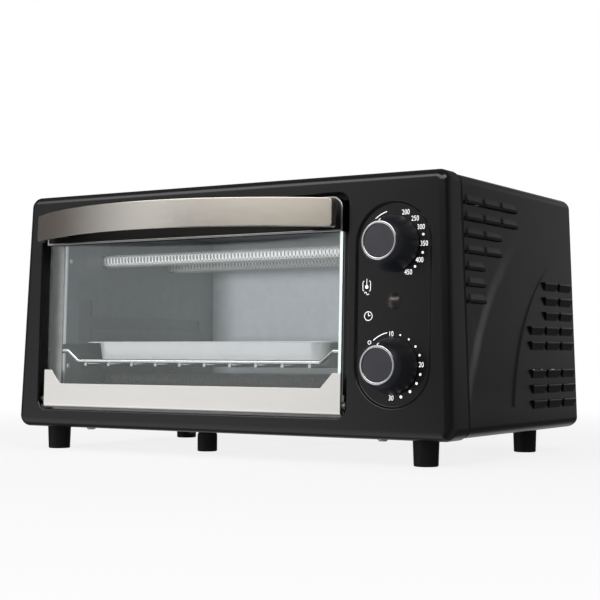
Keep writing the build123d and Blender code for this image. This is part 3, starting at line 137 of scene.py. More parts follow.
# %% A finish and its nodes
class Finish:
    """The node tree of a material or of the world."""

    def __init__(self, owner):
        owner.use_nodes = True
        self.owner = owner
        self.tree = owner.node_tree
        self.tree.nodes.clear()

    def node(self, kind, settings, sockets, output=0):
        """Add a node: its settings first, then the values or links of its sockets."""
        made = self.tree.nodes.new("ShaderNode" + kind)
        for key, value in settings.items():
            if key == "stops":
                self.set_stops(made.color_ramp, value)
            else:
                setattr(made, key, value)
        for key, value in sockets.items():
            self.feed(made.inputs[key], value)
        if isinstance(output, tuple):
            return [Wire(self, made.outputs[name]) for name in output]
        return Wire(self, made.outputs[output]) if made.outputs else None

    def feed(self, socket, value):
        """Link a wire to a socket, or set the socket's own value."""
        if isinstance(value, Wire):
            self.tree.links.new(value.socket, socket)
        elif socket.type == "RGBA":
            socket.default_value = (*value, 1.0)
        else:
            socket.default_value = value

    def set_stops(self, ramp, stops):
        """Give a colour ramp its stops: place and colour."""
        while len(ramp.elements) < len(stops):
            ramp.elements.new(1.0)
        for element, (place, colour) in zip(ramp.elements, stops):
            element.position = place
            element.color = (*colour, 1.0)

    def math(self, operation, first, second):
        return self.node("Math", {"operation": operation}, {0: first, 1: second})

    def where(self, stretch=(1.0, 1.0, 1.0)):
        """Object coordinates, stretched along the three axes."""
        place = self.node("TexCoord", {}, {}, output="Object")
        return self.node("Mapping", {}, {"Vector": place, "Scale": stretch})

    def noise(self, size, detail=2.0, stretch=(1.0, 1.0, 1.0)):
        """Soft noise whose blotches are about size metres across."""
        sockets = {"Vector": self.where(stretch), "Scale": 1.0 / size, "Detail": detail}
        return self.node("TexNoise", {}, sockets)

    def spread(self, value, low, high):
        """Carry a value from 0 to 1 onto a range."""
        return self.node("MapRange", {}, {"Value": value, "To Min": low, "To Max": high})

    def step(self, value, start, end):
        """0 before a start, 1 after an end, and a soft rise between."""
        return self.node("MapRange", {"interpolation_type": "SMOOTHSTEP"},
                         {"Value": value, "From Min": start, "From Max": end})

    def mix(self, share, first, second):
        """A colour between two colours."""
        return self.node("Mix", {"data_type": "RGBA"}, {0: share, 6: first, 7: second}, output=2)

    def bump(self, height, strength, depth, over=None):
        """A normal from a height field, depth in metres, on top of an earlier one where there is one."""
        sockets = {"Strength": strength, "Distance": depth, "Height": height}
        if over:
            sockets["Normal"] = over
        return self.node("Bump", {}, sockets)

    def surface(self, sockets):
        """End a material in a Principled shader."""
        shader = self.node("BsdfPrincipled", {}, sockets)
        self.node("OutputMaterial", {}, {"Surface": shader})
        return self.owner


def new_finish(name):
    return Finish(bpy.data.materials.new(name))


def screen(red, green, blue):
    """Light from a colour given as it looks on a screen, 0 to 255."""
    shares = [value / 255 for value in (red, green, blue)]
    return tuple(s / 12.92 if s <= 0.04045 else ((s + 0.055) / 1.055) ** 2.4 for s in shares)


def tint(colour, share):
    """A colour made lighter or darker."""
    return tuple(value * share for value in colour)


# %% [markdown]
# ## Black paint and black mouldings
# The casing is satin black: almost no colour of its own, and a wide soft sheen with a faint grain.
# A plain black would look like a hole, so the sheen varies a little from place to place.
# The specular level is a little under the usual half, because black paint mirrors only about a thirtieth of
# the room. The sweep pressed into the sides has a soft slope in front of it. Cutting the louvred sheet for a
# slope so shallow would spoil the louvres, so the shell's paint carries it as a bump. Its values are in
# metres, because a shader reads places in metres.

# %% Satin paint of the casing
SWEEP_CENTRE = (0.0, 0.1417, -0.0330)
SWEEP_RADIUS = 0.2087
SWEEP_SLOPE = 0.012
SWEEP_DEPTH = 0.0009
SWEEP_FOOT = (0.02, 0.05)
SWEEP_TIP = (0.09, 0.16)


def sweep_slope(finish):
    """The soft slope in front of the pressed sweep: an arc in side view that fades at its two ends."""
    side = finish.where(stretch=(0.0, 1.0, 1.0))
    reach = finish.node("VectorMath", {"operation": "DISTANCE"}, {0: side, 1: SWEEP_CENTRE}, output="Value")
    height = finish.node("SeparateXYZ", {}, {"Vector": side}, output="Z")
    hollow = 1 - finish.step(reach, SWEEP_RADIUS, SWEEP_RADIUS + SWEEP_SLOPE)
    fade = finish.step(height, *SWEEP_FOOT) - finish.step(height, *SWEEP_TIP)
    return finish.bump(0 - hollow * fade, 1.0, SWEEP_DEPTH)


def satin_paint(name, tone, roughness, sheen, swept):
    """Baked paint: cloudy tone, fine grain, slight orange peel."""
    finish = new_finish(name)
    cloud = finish.noise(0.07, detail=3.0)
    grain = finish.noise(0.0007, detail=1.0)
    form = sweep_slope(finish) if swept else None
    return finish.surface({
        "Base Color": finish.mix(cloud, tint(tone, 0.8), tint(tone, 1.2)),
        "Roughness": finish.spread(cloud * 0.6 + grain * 0.4, roughness - 0.06, roughness + 0.06),
        "Specular IOR Level": sheen,
        "Normal": finish.bump(grain, 0.12, 0.00004, over=form),
    })


frame_paint = satin_paint("frame_paint", screen(11, 11, 12), 0.22, 0.45, False)
shell_paint = satin_paint("shell_paint", screen(10, 10, 10), 0.22, 0.42, True)
print("casing:", frame_paint.name, shell_paint.name)


# %% Gloss moulding, matt inlay, foot and lens
def gloss_moulding():
    """Knob plastic: blue-black with a soft sheen over a slightly uneven mould surface."""
    finish = new_finish("knob_gloss")
    swell = finish.noise(0.009)
    return finish.surface({
        "Base Color": finish.mix(swell, screen(13, 14, 18), screen(20, 21, 27)),
        "Roughness": finish.spread(swell, 0.4, 0.5),
        "Specular IOR Level": 0.4,
        "Normal": finish.bump(swell, 0.1, 0.0002),
    })


def matt_inlay():
    """The spark-eroded disc in a knob's end."""
    finish = new_finish("knob_inlay")
    pits = finish.noise(0.0004, detail=1.0)
    cloud = finish.noise(0.012)
    return finish.surface({
        "Base Color": finish.mix(cloud, screen(26, 26, 31), screen(34, 34, 39)),
        "Roughness": finish.spread(pits, 0.4, 0.55),
        "Specular IOR Level": 0.5,
        "Normal": finish.bump(pits, 0.25, 0.00005),
    })


def foot_plastic():
    """Feet, pull and lead bushing: dull black plastic with a moulded grain."""
    finish = new_finish("foot_plastic")
    grain = finish.noise(0.0009)
    return finish.surface({
        "Base Color": finish.mix(grain, screen(7, 7, 8), screen(13, 13, 14)),
        "Roughness": finish.spread(grain, 0.42, 0.58),
        "Specular IOR Level": 0.12,
        "Normal": finish.bump(grain, 0.2, 0.00008),
    })


def smoked_lens():
    """The lamp's lens: smoked plastic, nearly black while the lamp is off, polished."""
    finish = new_finish("smoked_lens")
    cloud = finish.noise(0.004)
    return finish.surface({
        "Base Color": finish.mix(cloud, screen(20, 18, 18), screen(32, 29, 28)),
        "Roughness": finish.spread(cloud, 0.28, 0.38),
        "Coat Weight": 0.2,
        "Specular IOR Level": 0.5,
    })


knob_gloss = gloss_moulding()
knob_inlay = matt_inlay()
foot_black = foot_plastic()
lens_smoke = smoked_lens()
print("mouldings:", knob_gloss.name, knob_inlay.name, foot_black.name, lens_smoke.name)

# %% [markdown]
# ## Metals
# Brushed steel carries fine scratches that all run one way. Noise stretched along the oven's width
# gives them: as a bump they spread a reflection up and down, which is what makes a brushed sheet glow.
# The cavity is aluminised steel, whose crystals show as large pale flakes, so it starts from Voronoi cells.


# %% Brushed steel
def brushed_steel(name, pale, dark, roughness, depth, metal):
    """Sheet brushed along the oven's width."""
    finish = new_finish(name)
    scratch = finish.noise(0.0005, detail=3.0, stretch=(0.012, 1.0, 1.0))
    stroke = finish.noise(0.004, detail=2.0, stretch=(0.03, 1.0, 1.0))
    cloud = finish.noise(0.06)
    return finish.surface({
        "Base Color": finish.mix(stroke * 0.5 + cloud * 0.5, dark, pale),
        "Metallic": metal,
        "Roughness": finish.spread(scratch, roughness - 0.07, roughness + 0.07),
        "Normal": finish.bump(scratch, 0.5, depth),
    })


handle_steel = brushed_steel("handle_steel", (0.8, 0.765, 0.715), (0.7, 0.67, 0.625), 0.33, 0.00005, 1.0)
bright_rail = brushed_steel("bright_rail", (0.88, 0.865, 0.845), (0.82, 0.805, 0.785), 0.36, 0.00004, 0.88)
# The top rail's steel has a near-black tone as painted shade and reflection. Its bead has a paler tone as a
# painted highlight.
rail_painted_shade = brushed_steel("rail_painted_shade", (0.045, 0.044, 0.043), (0.03, 0.029, 0.028), 0.36, 0.00005, 1.0)
bead_painted_highlight = brushed_steel("bead_painted_highlight", (0.5, 0.49, 0.48), (0.42, 0.41, 0.4), 0.3, 0.00003, 1.0)
print("brushed:", handle_steel.name, bright_rail.name, rail_painted_shade.name)


# %% Aluminised sheet, pan, chrome and plated steel
FLAKE_SIZE = 0.00625


def aluminised_sheet(name, dark, pale):
    """Cavity sheet: crystal flakes, drawing streaks and a soft bloom."""
    finish = new_finish(name)
    cells = {"Vector": finish.where(), "Scale": 1.0 / FLAKE_SIZE}
    flake = finish.node("TexVoronoi", {}, cells, output="Color")
    flake_tone = finish.node("SeparateColor", {}, {"Color": flake})
    streak = finish.noise(0.02, detail=3.0, stretch=(1.0, 1.0, 0.06))
    bloom = finish.noise(0.05, detail=2.0)
    tone = flake_tone * 0.25 + streak * 0.4 + bloom * 0.35
    return finish.surface({
        "Base Color": finish.mix(tone, dark, pale),
        "Metallic": 0.25,
        "Roughness": finish.spread(tone, 0.34, 0.5),
        "Normal": finish.bump(tone, 0.15, 0.0001),
    })


def pan_aluminium():
    """The baking tray: bright rolled aluminium with faint rubbed marks."""
    finish = new_finish("pan_aluminium")
    rub = finish.noise(0.012, detail=4.0, stretch=(0.3, 1.0, 1.0))
    return finish.surface({
        "Base Color": finish.mix(rub, (0.54, 0.555, 0.57), (0.66, 0.675, 0.69)),
        "Metallic": 0.55,
        "Roughness": finish.spread(rub, 0.24, 0.42),
        "Normal": finish.bump(rub, 0.15, 0.0002),
    })


def plated(name, pale, dark, roughness):
    """Chrome, zinc or nickel plating: smooth, with a slow drift in tone."""
    finish = new_finish(name)
    drift = finish.noise(0.006, detail=2.0)
    return finish.surface({
        "Base Color": finish.mix(drift, dark, pale),
        "Metallic": 1.0,
        "Roughness": finish.spread(drift, roughness * 0.7, roughness * 1.3),
        "Normal": finish.bump(drift, 0.05, 0.0001),
    })


cavity_sheet = aluminised_sheet("cavity_sheet", (0.32, 0.342, 0.368), (0.44, 0.468, 0.502))
# The side walls take a darker copy of the cavity sheet as painted shade. The pressed guides in them take a darker
# one still, as painted shade in the recesses.
wall_painted_shade = aluminised_sheet("wall_painted_shade", (0.25, 0.268, 0.288), (0.34, 0.364, 0.39))
pressed_guide_painted_shade = aluminised_sheet("pressed_guide_painted_shade", (0.22, 0.236, 0.254), (0.3, 0.32, 0.344))
pan_finish = pan_aluminium()
ring_chrome = plated("ring_chrome", (0.95, 0.95, 0.96), (0.88, 0.88, 0.9), 0.12)
rack_chrome = plated("rack_chrome", (0.92, 0.93, 0.94), (0.8, 0.81, 0.82), 0.16)
zinc = plated("zinc", (0.72, 0.73, 0.74), (0.58, 0.59, 0.6), 0.34)
blued_sheet = plated("blued_sheet", (0.2, 0.21, 0.22), (0.13, 0.135, 0.14), 0.45)
# Near-black wire for the lower coils: painted shade, where they lie in the shadow of the tray and rack.
coil_painted_shade = plated("coil_painted_shade", (0.1, 0.1, 0.1), (0.05, 0.05, 0.05), 0.5)
print("sheet:", cavity_sheet.name, pan_finish.name, "plated:", ring_chrome.name, rack_chrome.name, zinc.name)

# %% [markdown]
# ## Glass, quartz, ceramic and print
# A flat pane neither bends nor colours what is behind it, so it needs no refraction: a mirror that is
# nearly clear, and less so towards a grazing view, gives the same picture and lets the light through.
# At a back face the Fresnel node turns its index round, as if the light left a block of glass, so the index
# is turned back there and both faces of the pane mirror alike.
# The same trick with a milky colour stands for the heaters' quartz.


# %% Clear and milky glass
GLASS_IOR = 1.9


def clear_pane():
    """Door glass: a mirror as clear as Fresnel's law says."""
    finish = new_finish("clear_pane")
    smear = finish.noise(0.05, detail=3.0)
    behind = finish.node("NewGeometry", {}, {}, output="Backfacing")
    return finish.surface({
        "Base Color": screen(236, 244, 240),
        "Metallic": 1.0,
        "Roughness": finish.spread(smear, 0.02, 0.05),
        "Alpha": finish.node("Fresnel", {}, {"IOR": finish.spread(behind, GLASS_IOR, 1 / GLASS_IOR)}),
    })


def pane_edge(name, pale, dark):
    """The ground edge of the pane, where the glass shows its green."""
    finish = new_finish(name)
    cloud = finish.noise(0.01)
    return finish.surface({
        "Base Color": finish.mix(cloud, dark, pale),
        "Roughness": finish.spread(cloud, 0.25, 0.4),
    })


def quartz(name, pale, dark, clearest, dullest):
    """Heater tube: milky glass, clearer where it is seen straight on."""
    finish = new_finish(name)
    cloud = finish.noise(0.008)
    facing = finish.node("LayerWeight", {}, {"Blend": 0.3}, output="Facing")
    return finish.surface({
        "Base Color": finish.mix(cloud, dark, pale),
        "Roughness": finish.spread(cloud, 0.1, 0.2),
        "Alpha": finish.spread(facing, clearest, dullest),
    })


glass_clear = clear_pane()
glass_edge = pane_edge("pane_edge", screen(52, 78, 70), screen(30, 48, 43))
glass_arris = pane_edge("pane_arris", screen(232, 242, 238), screen(206, 222, 216))
quartz_milk = quartz("quartz_milk", screen(236, 238, 238), screen(208, 212, 212), 0.06, 0.35)
# Dark grey quartz for the lower tubes: painted shade, where they lie in the shadow of the tray and rack.
tube_painted_shade = quartz("tube_painted_shade", screen(70, 72, 72), screen(48, 50, 50), 0.15, 0.6)
print("glass:", glass_clear.name, glass_edge.name, glass_arris.name, quartz_milk.name)


# %% Ceramic, phenolic and print
def dull(name, pale, dark, roughness, grain_size):
    """A plain unglazed surface with a grain."""
    finish = new_finish(name)
    grain = finish.noise(grain_size, detail=3.0)
    return finish.surface({
        "Base Color": finish.mix(grain, dark, pale),
        "Roughness": finish.spread(grain, roughness - 0.08, roughness + 0.08),
        "Normal": finish.bump(grain, 0.2, 0.0001),
    })


ceramic = dull("ceramic", screen(232, 228, 218), screen(205, 200, 190), 0.6, 0.002)
phenolic = dull("phenolic", screen(66, 46, 34), screen(44, 30, 22), 0.45, 0.0015)
# Dead black painted shade: it stands for the shadow in the groove round the casing and in the slots under the
# louvre hoods.
painted_shade_black = dull("painted_shade_black", screen(5, 5, 5), screen(3, 3, 3), 0.88, 0.002)
print_white = dull("print_white", screen(222, 222, 222), screen(206, 206, 206), 0.55, 0.0006)
# Near-white wire for the upper coils: a painted highlight, so that the coil shows as a bright zigzag.
coil_painted_highlight = dull("coil_painted_highlight", screen(250, 250, 250), screen(235, 235, 235), 0.4, 0.002)
lead_sleeve = dull("lead_sleeve", screen(196, 192, 184), screen(150, 146, 140), 0.7, 0.0004)
print("dull:", ceramic.name, phenolic.name, print_white.name, lead_sleeve.name)

# %% [markdown]
# ## Softening the metal and the mouldings
# A solid model has knife edges; a pressed sheet or a moulding never has. Each visible piece is copied,
# its loose triangles are merged, its hard edges are bevelled by a fraction of a millimetre, and its
# normals are weighted by area so that flat faces stay flat. The copy then stands for the CAD node.
# A piece that is round already, or hardly seen, has a width of 0 and is only merged and smoothed.

# %% Soften helper
WELD_GAP = 0.004 * MM
FLAT_TURN = math.radians(1.0)
HARD_TURN = math.radians(40.0)
SMOOTH_TURN = math.radians(30.0)


def merged(name):
    """A CAD node's mesh as a bmesh with its triangles joined."""
    shape = bmesh.new()
    shape.from_mesh(nodes[name].data)
    bmesh.ops.remove_doubles(shape, verts=shape.verts, dist=WELD_GAP)
    bmesh.ops.dissolve_limit(shape, angle_limit=FLAT_TURN, verts=shape.verts, edges=shape.edges)
    return shape


def bevel(shape, edges, width, segments, clamp):
    """Round edges by a width in millimetres."""
    bmesh.ops.bevel(shape, geom=edges, offset=width * MM, offset_type="OFFSET", segments=segments,
                    profile=0.5, affect="EDGES", material=-1, clamp_overlap=clamp)


def round_edges(shape, width):
    """Bevel every hard edge by a width in millimetres."""
    hard = [e for e in shape.edges if e.is_manifold and e.calc_face_angle() > HARD_TURN]
    bevel(shape, hard, width, 2, False)


def cut(shape, place, way):
    """Cut every face that crosses a plane."""
    whole = shape.verts[:] + shape.edges[:] + shape.faces[:]
    bmesh.ops.bisect_plane(shape, geom=whole, plane_co=place, plane_no=way)


print("edges that turn by more than", round(math.degrees(HARD_TURN)), "degrees count as hard")


# %% From a bmesh to a piece
def mesh_object(name, shape, finishes):
    """Turn a bmesh into an object of the scene with its finishes."""
    mesh = bpy.data.meshes.new(name)
    shape.to_mesh(mesh)
    shape.free()
    for finish in finishes:
        mesh.materials.append(finish)
    made = bpy.data.objects.new(name, mesh)
    bpy.context.scene.collection.objects.link(made)
    return made


def finish_piece(name, shape, finishes, body, replaced=()):
    """Turn a bmesh into a smooth piece that rides on a body."""
    piece = mesh_object(name, shape, finishes)
    piece.data.shade_smooth()
    piece.data.set_sharp_from_angle(angle=SMOOTH_TURN)
    even = piece.modifiers.new("even_shading", "WEIGHTED_NORMAL")
    even.keep_sharp = True
    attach(piece, body)
    if replaced:
        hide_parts(*replaced)
    return piece


def soften(name, width, finish):
    """Replace a CAD node by its softened copy."""
    shape = merged(name)
    if width:
        round_edges(shape, width)
    return finish_piece(name + "_skin", shape, [finish], carrier[name], [name])


print("faces that turn by less than", round(math.degrees(SMOOTH_TURN)), "degrees are shaded as one")

# %% Casing, door and controls
SOFT_PIECES = (
    ("rear_panel", 0.0, shell_paint, "black_body"),
    ("door_bottom_rail", 0.2, bright_rail, "bright_trim"),
    ("door_handle", 0.5, handle_steel, "handle_steel"),
    ("handle_posts", 0.4, foot_black, "black_plastic"),
    ("temperature_knob_ring", 0.35, ring_chrome, "bright_trim"),
    ("timer_knob_ring", 0.35, ring_chrome, "bright_trim"),
    ("temperature_knob_inlay", 0.2, knob_inlay, "knob_matt"),
    ("timer_knob_inlay", 0.2, knob_inlay, "knob_matt"),
    ("lamp_lens", 0.0, lens_smoke, "lamp_amber"),
    ("crumb_pull", 0.0, foot_black, "black_plastic"),
    ("crumb_stud", 0.0, foot_black, "black_plastic"),
    ("cord_bushing", 0.0, foot_black, "black_plastic"),
    ("foot_front_left", 0.0, foot_black, "black_plastic"),
    ("foot_front_right", 0.0, foot_black, "black_plastic"),
    ("foot_rear_left", 0.0, foot_black, "black_plastic"),
    ("foot_rear_right", 0.0, foot_black, "black_plastic"),
    ("baking_tray", 0.15, pan_finish, "aluminised_steel"),
    ("wire_rack", 0.0, rack_chrome, "bright_trim"),
)
for name, width, finish, slot in SOFT_PIECES:
    skin = soften(name, width, finish)
    print(skin.name, len(skin.data.polygons), "faces")

# %% [markdown]
# ## The groove between frame and shell, and the louvres
# Where the moulded frame meets the sheet, the frame's rim is rounded and the sheet's edge is tucked in, so a
# groove runs round the casing. The tucked faces get a dead black finish, which is painted shade of that groove.
# The front louvres are hoods over a slot. The hoods' faces are cut at the height of the slot, and the part below
# the cut gets the same dead black, which is painted shade where the slot lies in shadow.

# %% Frame with its rounded rim
SEAM = 0.6
FRAME_RIM = 1.0
FRAME_EDGE = 0.4
MIDDLE_HEIGHT = 100.0
PLANE_GAP = 0.02
FLANK_LEAN = 0.5


def outer_rim(shape, place):
    """The outer edges of a casing piece that lie in the plane at a depth."""
    rim = []
    for edge in shape.edges:
        if not edge.is_convex or any(abs(vertex.co.y - place) > PLANE_GAP * MM for vertex in edge.verts):
            continue
        flank = min(edge.link_faces, key=lambda face: abs(face.normal.y))
        away = flank.calc_center_median() - Vector((0.0, place, MIDDLE_HEIGHT * MM))
        away.y = 0.0
        if abs(flank.normal.y) < FLANK_LEAN and flank.normal.dot(away) > 0:
            rim.append(edge)
    return rim


shell_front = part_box("outer_shell")[0][1]
shape = merged("front_frame")
rim = outer_rim(shape, shell_front - SEAM * MM)
bevel(shape, rim, FRAME_RIM, 2, False)
round_edges(shape, FRAME_EDGE)
print("frame rim of", len(rim), "edges rounded by", FRAME_RIM)
finish_piece("front_frame_skin", shape, [frame_paint], "chassis", ["front_frame"])

# %% Shell with its tucked edge
TUCK_LENGTH = 3.6
TUCK_DEPTH = 0.9
TUCK_LEAN = (0.1, 0.9)

tuck_end = shell_front + TUCK_LENGTH * MM
shell = merged("outer_shell")
cut(shell, (0.0, tuck_end, 0.0), (0.0, 1.0, 0.0))
shell.normal_update()
edge_corners = {corner for edge in outer_rim(shell, shell_front) for corner in edge.verts}
for corner in edge_corners:
    inward = Vector((-corner.normal.x, 0.0, -corner.normal.z)).normalized()
    corner.co += inward * TUCK_DEPTH * MM
print("sheet tucked in at", len(edge_corners), "corners")

# %% Louvres with painted shade at their mouths
SIDE_LEAN = 0.0366
SIDE_REACH = 179.49
HOOD_RISE = 0.15
HOODS_END = 35.0
MOUTH_FIRST = 103.2
MOUTH_PITCH = 10.6
MOUTH_ROWS = 7
MOUTH_HEIGHT = 2.6
MOUTH_MARGIN = 1.0


def front_hoods(shape):
    """Faces that stand out of the shell's sides in the front group of louvres."""
    found = []
    for face in shape.faces:
        place = face.calc_center_median() / MM
        out = abs(place.x) * math.cos(SIDE_LEAN) + place.z * math.sin(SIDE_LEAN) - SIDE_REACH
        if out > HOOD_RISE and place.y < HOODS_END and place.z > MOUTH_FIRST - MOUTH_MARGIN:
            found.append(face)
    return found


def in_row(face, height):
    """Whether a face lies within half a pitch of a height."""
    return face.is_valid and abs(face.calc_center_median().z - height) < MOUTH_PITCH * MM / 2


hoods = front_hoods(shell)
for row in range(MOUTH_ROWS):
    height = (MOUTH_FIRST + row * MOUTH_PITCH + MOUTH_HEIGHT) * MM
    faces = [face for face in hoods if in_row(face, height)]
    edges = dict.fromkeys(edge for face in faces for edge in face.edges)
    corners = dict.fromkeys(corner for face in faces for corner in face.verts)
    bmesh.ops.bisect_plane(shell, geom=[*corners, *edges, *faces], plane_co=(0.0, 0.0, height),
                           plane_no=(0.0, 0.0, 1.0))
# Painted shade: the tucked faces and the lower part of each front hood get the dead black, where the groove and
# the slots lie in shadow.
for face in shell.faces:
    leans = TUCK_LEAN[0] < abs(face.normal.y) < TUCK_LEAN[1]
    face.material_index = 1 if leans and face.calc_center_median().y < tuck_end else 0
for face in front_hoods(shell):
    above = (face.calc_center_median().z / MM - MOUTH_FIRST) % MOUTH_PITCH
    face.material_index = 1 if above < MOUTH_HEIGHT else 0
print("groove and mouths on", sum(face.material_index for face in shell.faces), "faces")
finish_piece("outer_shell_skin", shell, [shell_paint, painted_shade_black], "chassis", ["outer_shell"])

# %% [markdown]
# ## Pieces with more than one finish
# The door's pane is clear on its two faces, bright where its arrises are ground, and dark green on its edge,
# because there the eye looks along the glass. The top rail's raised bead gets a pale steel as a painted highlight,
# and the rail behind it gets a near-black steel as painted shade and reflection. The cavity walls get a soft fold
# at the mouth, where the sheet is bent round to the flange. They take a darker copy of the cavity sheet as painted
# shade, darker still in their pressed guides. The flange's outer margin and top strip get black paint as painted
# shade. All are told apart by where a face lies and which way it looks,
# and a plane cuts a face in two where a finish ends in its middle.
# The knobs have one finish, but their shoulder needs a wider rounding than the other edges.

# %% The tilted face
face_out = -Vector(joints["timer_turn"]["axis"]).normalized()
face_right = Vector((1.0, 0.0, 0.0))
face_up = face_out.cross(face_right)
face_point = Vector(joints["timer_turn"]["pos_m"])


def proud(point):
    """How far a point stands out of the oven's front plane, in millimetres."""
    return (point - face_point).dot(face_out) / MM


print("the face leans back by", round(math.degrees(math.asin(face_out.z)), 2), "degrees")

# %% Glass pane
ARRIS = 1.3
GREEN_END = 2.8
FRONT_GAP = 0.1
TO_THE_RIGHT = 0.5
FULLY_RIGHT = 0.99

shape = merged("door_glass")
front = max(proud(vertex.co) for vertex in shape.verts)
rim = [edge for edge in shape.edges if all(front - proud(vertex.co) < FRONT_GAP for vertex in edge.verts)]
bevel(shape, rim, ARRIS, 1, True)
cut(shape, face_point + face_out * (front - GREEN_END) * MM, face_out)
for face in shape.faces:
    green = front - proud(face.calc_center_median()) < GREEN_END
    if face.normal.x < TO_THE_RIGHT:
        face.material_index = 0
    elif face.normal.x > FULLY_RIGHT and green:
        face.material_index = 2
    else:
        face.material_index = 1
pane = finish_piece("door_glass_skin", shape, [glass_clear, glass_arris, glass_edge], "door",
                    ["door_glass"])
print(pane.name, "with", len(pane.data.polygons), "faces")

# %% Knobs with a rounded shoulder
SHOULDER = 1.0
SHOULDER_STEPS = 5
TIP_LOW = 13.3
TIP_HIGH = 13.9

for control in ("temperature", "timer"):
    centre = Vector(joints[control + "_turn"]["pos_m"])
    shape = merged(control + "_knob")
    tip = []
    for edge in shape.edges:
        arms = [vertex.co - centre for vertex in edge.verts]
        radii = [(arm - face_out * arm.dot(face_out)).length / MM for arm in arms]
        if TIP_LOW < min(radii) and max(radii) < TIP_HIGH:
            tip.append(edge)
    bevel(shape, tip, SHOULDER, SHOULDER_STEPS, True)
    knob = finish_piece(control + "_knob_skin", shape, [knob_gloss], control + "_control",
                        [control + "_knob"])
    print(knob.name, len(tip), "shoulder edges")

# %% Top rail with a painted highlight on its bead
BEAD_START = 0.6
RAIL_EDGE = 0.15

shape = merged("door_top_rail")
round_edges(shape, RAIL_EDGE)
# Painted highlight and shade: the bead's faces get the pale steel, and the rest get the near-black steel.
for face in shape.faces:
    face.material_index = 1 if proud(face.calc_center_median()) > BEAD_START else 0
rail = finish_piece("door_top_rail_skin", shape, [rail_painted_shade, bead_painted_highlight], "door",
                    ["door_top_rail"])
print(rail.name, "with", len(rail.data.polygons), "faces")

# %% Cavity walls
FOLD = 1.3
FOLD_STEPS = 4
ALONG_FACE = 0.99995
PRESSED = 0.5


def fold_mouth(name, inner):
    """A wall whose front edge is bent round towards the flange; inner is where its cavity face lies."""
    shape = merged(name)
    mouth = []
    for edge in shape.edges:
        first, last = (vertex.co for vertex in edge.verts)
        way = (last - first).normalized()
        if max(abs(first.x - inner), abs(last.x - inner)) < WELD_GAP and abs(way.dot(face_up)) > ALONG_FACE:
            mouth.append(edge)
    bevel(shape, mouth, FOLD, FOLD_STEPS, True)
    # Painted shade: faces deep in the pressed guides get the darker sheet.
    for face in shape.faces:
        deep = abs(face.calc_center_median().x - inner) > PRESSED * MM
        face.material_index = 1 if deep and face.normal.x * inner < 0 else 0
    pressed = sum(face.material_index for face in shape.faces)
    print(name, "folded along", len(mouth), "edges,", pressed, "faces pressed")
    finishes = [wall_painted_shade, pressed_guide_painted_shade]
    return finish_piece(name + "_skin", shape, finishes, "chassis", [name])


fold_mouth("cavity_left_wall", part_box("cavity_left_wall")[1][0])
fold_mouth("cavity_right_wall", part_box("cavity_right_wall")[0][0])

# %% Front flange with painted shade on its margin
MARGIN = 5.7
FLANGE_EDGE = 0.3

shape = merged("cavity_front_flange")
round_edges(shape, FLANGE_EDGE)
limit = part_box("door_bottom_rail")[1][0] - MARGIN * MM
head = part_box("cavity_roof")[0][2]
cut(shape, (limit, 0.0, 0.0), (1.0, 0.0, 0.0))
cut(shape, (0.0, 0.0, head), (0.0, 0.0, 1.0))
# Painted shade: the margin beyond the door's edge and the strip above the roof get the black casing paint, where
# the gap lies in shadow.
for face in shape.faces:
    middle = face.calc_center_median()
    face.material_index = 1 if middle.x > limit or middle.z > head else 0
flange = finish_piece("cavity_front_flange_skin", shape, [zinc, shell_paint], "chassis",
                      ["cavity_front_flange"])
print(flange.name, "with", len(flange.data.polygons), "faces")

# %% [markdown]
# ## Heater coils
# Inside each quartz tube lies a close coil of resistance wire. The upper coils are near white as a painted
# highlight, so they show as a bright zigzag. The lower ones are near black as painted shade.
# The solid model carries a coarse coil; here a small ring of points is spun round the tube's axis and
# pushed along it at every step, which is how a real coil is wound.

# %% Wound coils
COIL_TURNS = 80
COIL_STEPS = 12
COIL_RADIUS = 3.1
COIL_WIRE = 0.45
COIL_SIDES = 6
COIL_END = 4.0

for name in [node for node in nodes if node.startswith("heater_coil")]:
    low, high = (Vector(corner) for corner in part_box(name))
    centre = (low + high) / 2
    start = Vector((low.x + COIL_END * MM, centre.y + COIL_RADIUS * MM, centre.z))
    length = high.x - low.x - 2 * COIL_END * MM
    shape = bmesh.new()
    bmesh.ops.create_circle(shape, segments=COIL_SIDES, radius=COIL_WIRE * MM,
                            matrix=Matrix.Translation(start))
    steps = COIL_TURNS * COIL_STEPS
    bmesh.ops.spin(shape, geom=shape.verts[:] + shape.edges[:], cent=centre, axis=(1.0, 0.0, 0.0),
                   dvec=(length / steps, 0.0, 0.0), angle=math.tau * COIL_TURNS, steps=steps)
    ends = [edge for edge in shape.edges if edge.is_boundary]
    bmesh.ops.holes_fill(shape, edges=ends, sides=COIL_SIDES)
    bmesh.ops.recalc_face_normals(shape, faces=shape.faces)
    # Painted shade on the lower coils, painted highlight on the upper ones.
    wire = coil_painted_shade if "lower" in name else coil_painted_highlight
    coil = finish_piece(name + "_skin", shape, [wire], "chassis", [name])
    print(coil.name, len(coil.data.polygons), "faces")

# %% [markdown]
# ## Pieces that keep their CAD shape
# Flat sheet, turned pins and hidden works are right as they are. They only get their finish, which is
# put into the material slots that they already have.

